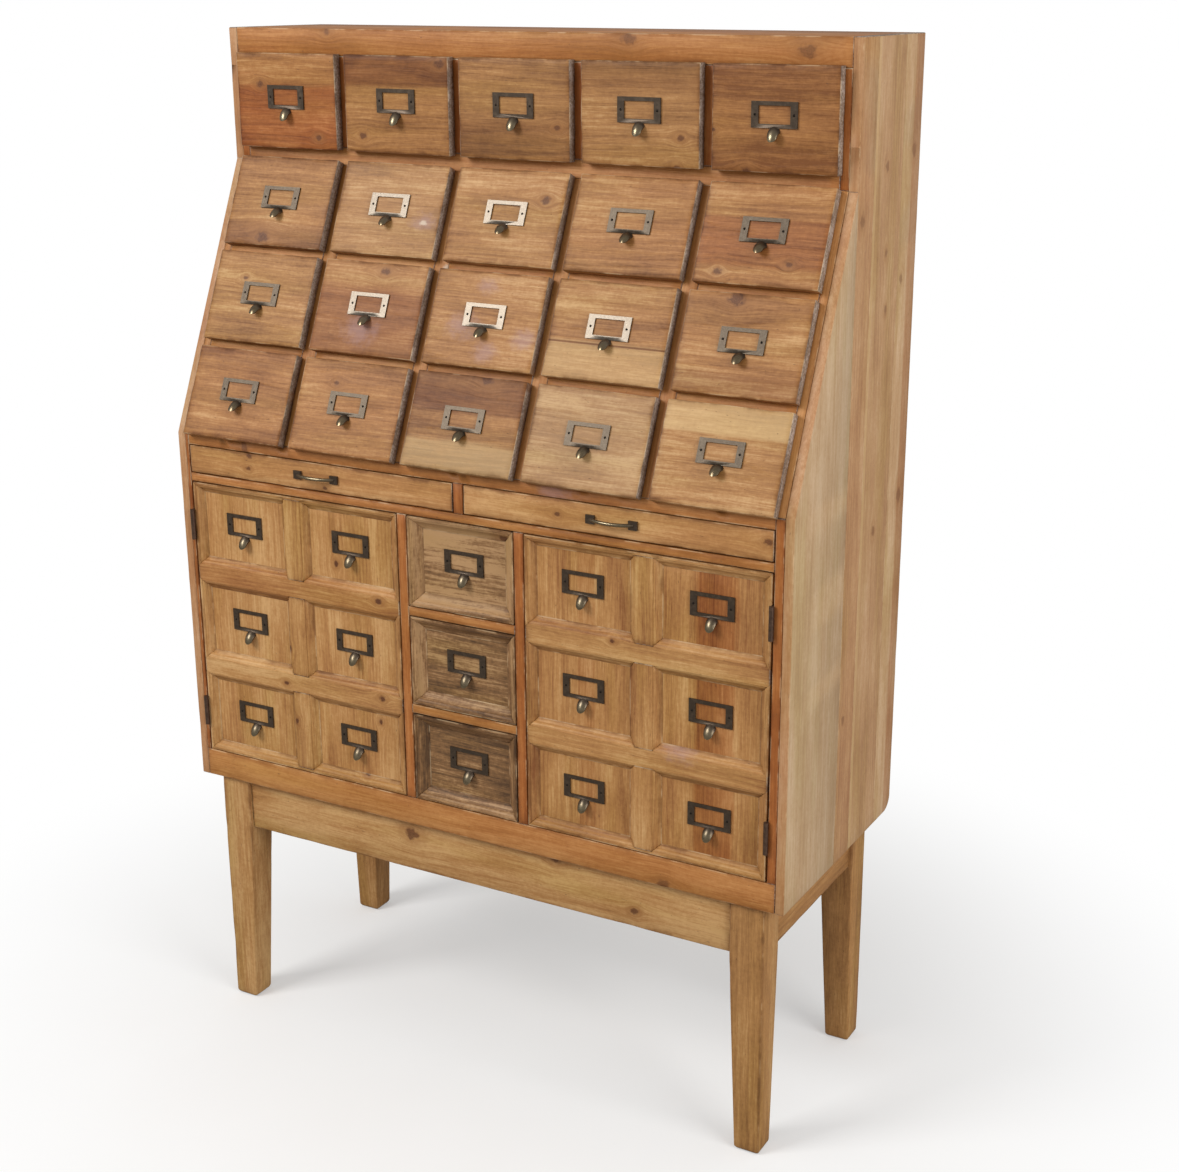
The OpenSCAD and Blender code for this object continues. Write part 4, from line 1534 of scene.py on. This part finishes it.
@dataclass
class Stand:
    """The stand: four tapered legs and four aprons."""

    finishes: Finishes
    leg_wear: Wear = Wear(2.2, 0.2, cut_mm=16.0, dent_mm=0.9, dip_mm=0.25)
    apron_wear: Wear = Wear(1.2, 0.2, cut_mm=20.0, dent_mm=0.6, dip_mm=0.15)
    apron_paler: float = 0.20
    off_centre: float = 0.1

    def build(self) -> None:
        """Dress the legs and the aprons."""
        legs = WoodWork("legs", self.finishes, False)
        order = sorted(legs.boards, key=lambda board: (board.low.x > 0, board.low.y > 0))
        for board, (name, look) in zip(order, LEG_LOOKS.items()):
            board.look = look
            legs.dress(f"leg_{name}", [board], "stand_wood", Pine.STAND, self.leg_wear)
        aprons = WoodWork("aprons", self.finishes, False)
        for board in aprons.boards:
            side = abs(board.low.x + board.high.x) > self.off_centre
            if side:
                name = "left" if board.low.x < 0 else "right"
            else:
                name = "front" if board.low.y < 0 else "back"
                board.look = Look(board.look.tone - self.apron_paler, board.look.red)
            aprons.dress(f"apron_{name}", [board], "stand_wood", Pine.STAND, self.apron_wear)


@dataclass
class Drawer:
    """A drawer: its front, with any moulding, and the box behind it."""

    node: str
    front_name: str
    box_name: str
    slot: str
    finish: Pine
    finishes: Finishes
    front_boards: int = 1
    look: Optional[Look] = None
    wear: Wear = Wear(1.1, 0.3, cut_mm=7.0, cross_mm=7.0, dent_mm=0.9, dip_mm=0.25)
    box_wear: Wear = Wear(0.5, 0.2)
    own_tone: float = 0.4

    def build(self) -> None:
        """Dress the front and the box."""
        work = WoodWork(self.node, self.finishes)
        ordered = sorted(work.boards, key=lambda board: board.low.y + board.high.y)
        front, box = ordered[: self.front_boards], ordered[self.front_boards :]
        if self.look:
            for board in front:
                extra = board.look.tone * self.own_tone
                board.look = Look(self.look.tone + extra, self.look.red, self.look.grey)
        work.dress(self.front_name, front, self.slot, self.finish, self.wear)
        work.dress(self.box_name, box, self.slot, Pine.INNER, self.box_wear)


@dataclass
class Door:
    """A door: a sunk panel behind a lattice of moulded members."""

    side: str
    finishes: Finishes
    panel_wear: Wear = Wear(0.3, 0.2, cut_mm=30.0, dip_mm=0.1)
    member_wear: Wear = Wear(0.0, 0.0, cut_mm=9.0, dent_mm=0.25, dip_mm=0.14)
    own_share: float = 0.6
    member_darker: float = 0.05
    panel_darker: float = 0.03
    panel_red: float = 0.15

    def build(self) -> None:
        """Dress the panel and the lattice."""
        work = WoodWork(f"door_{self.side}", self.finishes, False)
        panel = [max(work.boards, key=lambda board: board.half[1])]
        members = [board for board in work.boards if board not in panel]
        tone = DOOR_TONES[self.side]
        for board in members:
            own = board.look.tone * self.own_share
            red = board.look.red * self.own_share
            board.look = Look(own + tone + self.member_darker, red)
        panel[0].look = Look(tone + self.panel_darker, self.panel_red)
        name = f"door_{self.side}"
        work.dress(f"{name}_panel", panel, "door_wood", Pine.DOOR, self.panel_wear)
        work.dress(f"{name}_lattice", members, "door_wood", Pine.DOOR, self.member_wear)


# ------------------------------------------------------------------- metalwork


@dataclass
class MetalWork:
    """The metal pieces of one CAD node."""

    node: str
    finishes: Finishes
    touch_from: float = 0.0040
    touch_full: float = 0.0100

    def dress(
        self, name: str, parts: Sequence[bmesh.types.BMesh], slot: str, finish: Bronze,
        touched: bool = False,
    ) -> bpy.types.Object:
        """Make one piece of some of the node's solids.

        Args:
            name: The piece's name.
            parts: The solids in it.
            slot: The record's material slot.
            finish: How it is finished.
            touched: Whether fingers rub what stands proud.

        Returns:
            The piece.
        """
        joined = Joined()
        span = self.touch_full - self.touch_from
        for part in parts:
            reach = [self._out(point) for point in joined.take(part)]
            proud = min(reach) + self.touch_from
            rise = [(value - proud) / span if touched else 0.0 for value in reach]
            joined.tell({"touch": [min(1.0, max(0.0, value)) for value in rise]})
        metal = self.finishes.of(finish)
        return put_piece(name, joined.mesh(name), self.node, slot, metal, METAL_SMOOTH_DEG)

    def _out(self, point: Vector) -> float:
        """Return how far a point lies out from the face that carries the piece."""
        sloped = self.node.startswith("pull_r") and not self.node.startswith("pull_r1")
        return point.dot(SLOPE_AXES[2] if sloped else UPRIGHT_AXES[2])

    def solids(self) -> list[bmesh.types.BMesh]:
        """Part the node into its solids, largest first."""
        return sorted(solids(merged(self.node)), key=lambda part: -len(part.verts))


@dataclass
class LabelHolders:
    """Label holders with their finger cups, and the nails that hold them."""

    node: str
    name: str
    slot: str
    finish: Bronze
    finishes: Finishes
    count: int = 1
    nail_below: float = 0.004

    def build(self) -> list[bmesh.types.BMesh]:
        """Dress the holders and the nails.

        Returns:
            The node's other solids.
        """
        work = MetalWork(self.node, self.finishes)
        parts = work.solids()
        holders, rest = parts[: self.count], parts[self.count :]
        nails = [part for part in rest if self._height(part) < self.nail_below]
        others = [part for part in rest if part not in nails]
        work.dress(f"holder_{self.name}", holders, self.slot, self.finish, True)
        work.dress(f"nails_{self.name}", nails, self.slot, Bronze.NAIL)
        return others

    @staticmethod
    def _height(part: bmesh.types.BMesh) -> float:
        """Return a solid's reach upwards."""
        heights = [vert.co.z for vert in part.verts]
        return max(heights) - min(heights)


# ---------------------------------------------------------------------- studio


@dataclass
class Studio:
    """The camera, the lights, the pale floor and the white surround."""

    width_px: float = 1179.0
    height_px: float = 1172.0
    focal_px: float = 1852.0
    middle_px: tuple[float, float] = (623.01, 569.42)
    place: tuple[float, float, float] = (1.23246, -2.01821, 1.42477)
    down: float = 0.3083
    turn: float = 0.4972
    sensor_mm: float = 36.0
    floor_r: float = 14.0
    world_level: float = 0.50
    key_place: tuple[float, float, float] = (-1.75, -2.45, 2.75)
    key_watts: float = 74.0
    key_size: float = 1.4
    fill_place: tuple[float, float, float] = (3.0, -0.9, 1.5)
    fill_watts: float = 50.0
    fill_size: float = 1.8
    aim: tuple[float, float, float] = (0.0, 0.0, 0.85)
    fade_from: float = 0.35
    fade_full: float = 1.15
    near_glow: float = 0.30
    floor_noise: tuple[float, float] = (6.0, 3.0)

    def build(self) -> None:
        """Set up all that isn't part of the cabinet."""
        self._camera()
        self._lights()
        self._world()
        self._floor()
        bpy.context.scene.view_settings.view_transform = "Standard"

    def _camera(self) -> None:
        """Put the camera where the photograph was taken from."""
        data = bpy.data.cameras.new("camera")
        data.sensor_fit = "HORIZONTAL"
        data.sensor_width = self.sensor_mm
        data.lens = self.focal_px * self.sensor_mm / self.width_px
        data.shift_x = -(self.middle_px[0] - self.width_px / 2) / self.width_px
        data.shift_y = (self.middle_px[1] - self.height_px / 2) / self.width_px
        camera = bpy.data.objects.new("camera", data)
        camera.location = self.place
        camera.rotation_euler = (math.pi / 2 - self.down, 0.0, self.turn)
        bpy.context.scene.collection.objects.link(camera)
        bpy.context.scene.camera = camera

    def _light(self, name: str, place: Vector, size: float, watts: float) -> None:
        """Hang one square soft light that points at the cabinet.

        Args:
            name: Its name.
            place: Where it hangs.
            size: The length of its side.
            watts: Its power.
        """
        data = bpy.data.lights.new(name, "AREA")
        data.size = size
        data.energy = watts
        lamp = bpy.data.objects.new(name, data)
        lamp.location = place
        lamp.rotation_euler = (Vector(self.aim) - place).to_track_quat("-Z", "Y").to_euler()
        bpy.context.scene.collection.objects.link(lamp)

    def _lights(self) -> None:
        """Hang the large light before the cabinet on the left and a weaker one on the right."""
        self._light("key", Vector(self.key_place), self.key_size, self.key_watts)
        self._light("fill", Vector(self.fill_place), self.fill_size, self.fill_watts)

    def _world(self) -> None:
        """Light the scene evenly, and show white where the camera looks past it."""
        world = bpy.data.worlds.new("surround")
        bpy.context.scene.world = world
        plan = Plan(world)
        seen = plan.add("ShaderNodeLightPath").outputs["Is Camera Ray"]
        even = plan.add(
            "ShaderNodeBackground", {}, {"Color": WHITE, "Strength": self.world_level}
        )
        white = plan.add("ShaderNodeBackground", {}, {"Color": WHITE})
        mixed = plan.add(
            "ShaderNodeMixShader", {}, {0: seen, 1: even.outputs[0], 2: white.outputs[0]}
        )
        plan.add("ShaderNodeOutputWorld", {}, {"Surface": mixed.outputs[0]})

    def _floor(self) -> None:
        """Lay a pale round floor that fades to white away from the cabinet."""
        shape = bmesh.new()
        bmesh.ops.create_circle(shape, cap_ends=True, segments=64, radius=self.floor_r)
        mesh = bpy.data.meshes.new("floor")
        shape.to_mesh(mesh)
        shape.free()
        floor = bpy.data.objects.new("floor", mesh)
        bpy.context.scene.collection.objects.link(floor)
        plan = Plan(bpy.data.materials.new("pale_floor"))
        where = plan.add("ShaderNodeTexCoord").outputs["Object"]
        x, y, _ = plan.parts(where)
        seen = Value(plan, plan.add("ShaderNodeLightPath").outputs["Is Camera Ray"])
        away = (x.power(2.0) + y.power(2.0)).power(0.5).step(self.fade_from, self.fade_full)
        pale = plan.mix(plan.noise(where, *self.floor_noise), "F6F5F3", "FAFAF9")
        pale = plan.mix(seen, "A6A29C", pale)
        matt = plan.add("ShaderNodeBsdfDiffuse", {}, {"Color": pale})
        glow = plan.add("ShaderNodeEmission", {}, {"Color": WHITE})
        share = seen * (self.near_glow + away * (1 - self.near_glow))
        mixed = plan.add(
            "ShaderNodeMixShader", {}, {0: share, 1: matt.outputs[0], 2: glow.outputs[0]}
        )
        plan.add("ShaderNodeOutputMaterial", {}, {"Surface": mixed.outputs[0]})
        mesh.materials.append(plan.owner)


def dress_drawers(finishes: Finishes) -> None:
    """Dress every drawer with its pull.

    Args:
        finishes: The cabinet's materials.
    """
    for row, looks in enumerate(FRONT_LOOKS, 1):
        for column, look in enumerate(looks, 1):
            place = f"r{row}c{column}"
            Drawer(
                f"drawer_{place}", f"front_{place}", f"box_{place}", "small_front_wood",
                Pine.FRONT, finishes, look=look,
            ).build()
            slot = "dark_bronze" if row == 1 else "worn_bronze"
            # The listed holders get the paler bronze as painted sheen; the other sloped ones get
            # the dull copy.
            bright = Bronze.WORN if place in SHEEN_HOLDERS else Bronze.DULL
            finish = Bronze.DARK if row == 1 else bright
            LabelHolders(f"pull_{place}", place, slot, finish, finishes).build()
    centre_wear = Wear(0.0, 0.0, cut_mm=8.0, dent_mm=0.5, dip_mm=0.15)
    for place, look in CENTRE_LOOKS.items():
        Drawer(
            f"centre_drawer_{place}", f"centre_front_{place}", f"centre_box_{place}",
            "dark_wood", Pine.DARK, finishes, front_boards=5, look=look, wear=centre_wear,
        ).build()
        LabelHolders(
            f"centre_pull_{place}", f"centre_{place}", "dark_bronze", Bronze.DARK, finishes
        ).build()
    tray_wear = Wear(1.2, 0.3, cut_mm=10.0, cross_mm=10.0, dent_mm=0.8, dip_mm=0.25)
    for side, look in SHALLOW_LOOKS.items():
        Drawer(
            f"shallow_drawer_{side}", f"shallow_front_{side}", f"shallow_box_{side}",
            "shallow_front_wood", Pine.SHALLOW, finishes, look=look, wear=tray_wear,
        ).build()
        bow = MetalWork(f"bow_handle_{side}", finishes, touch_from=0.003, touch_full=0.009)
        bow.dress(f"bow_{side}", bow.solids(), "dark_bronze", Bronze.DARK, True)


def dress_doors(finishes: Finishes) -> None:
    """Dress both doors with their holders and hinges.

    Args:
        finishes: The cabinet's materials.
    """
    for side in ("left", "right"):
        Door(side, finishes).build()
        node = f"door_fittings_{side}"
        leaves = LabelHolders(
            node, f"door_{side}", "dark_bronze", Bronze.DARK, finishes, count=6
        ).build()
        MetalWork(node, finishes).dress(
            f"moving_leaves_{side}", leaves, "hinge_metal", Bronze.IRON
        )
    hinges = MetalWork("hinges", finishes)
    hinges.dress("fixed_leaves", hinges.solids(), "hinge_metal", Bronze.IRON)


def main() -> None:
    """Build the studio, then dress the cabinet from its case to its doors."""
    logging.basicConfig(level=logging.INFO, format="%(message)s")
    finishes = Finishes()
    Studio().build()
    Case(finishes).build()
    Stand(finishes).build()
    dress_drawers(finishes)
    dress_doors(finishes)


if __name__ == "__main__":
    main()
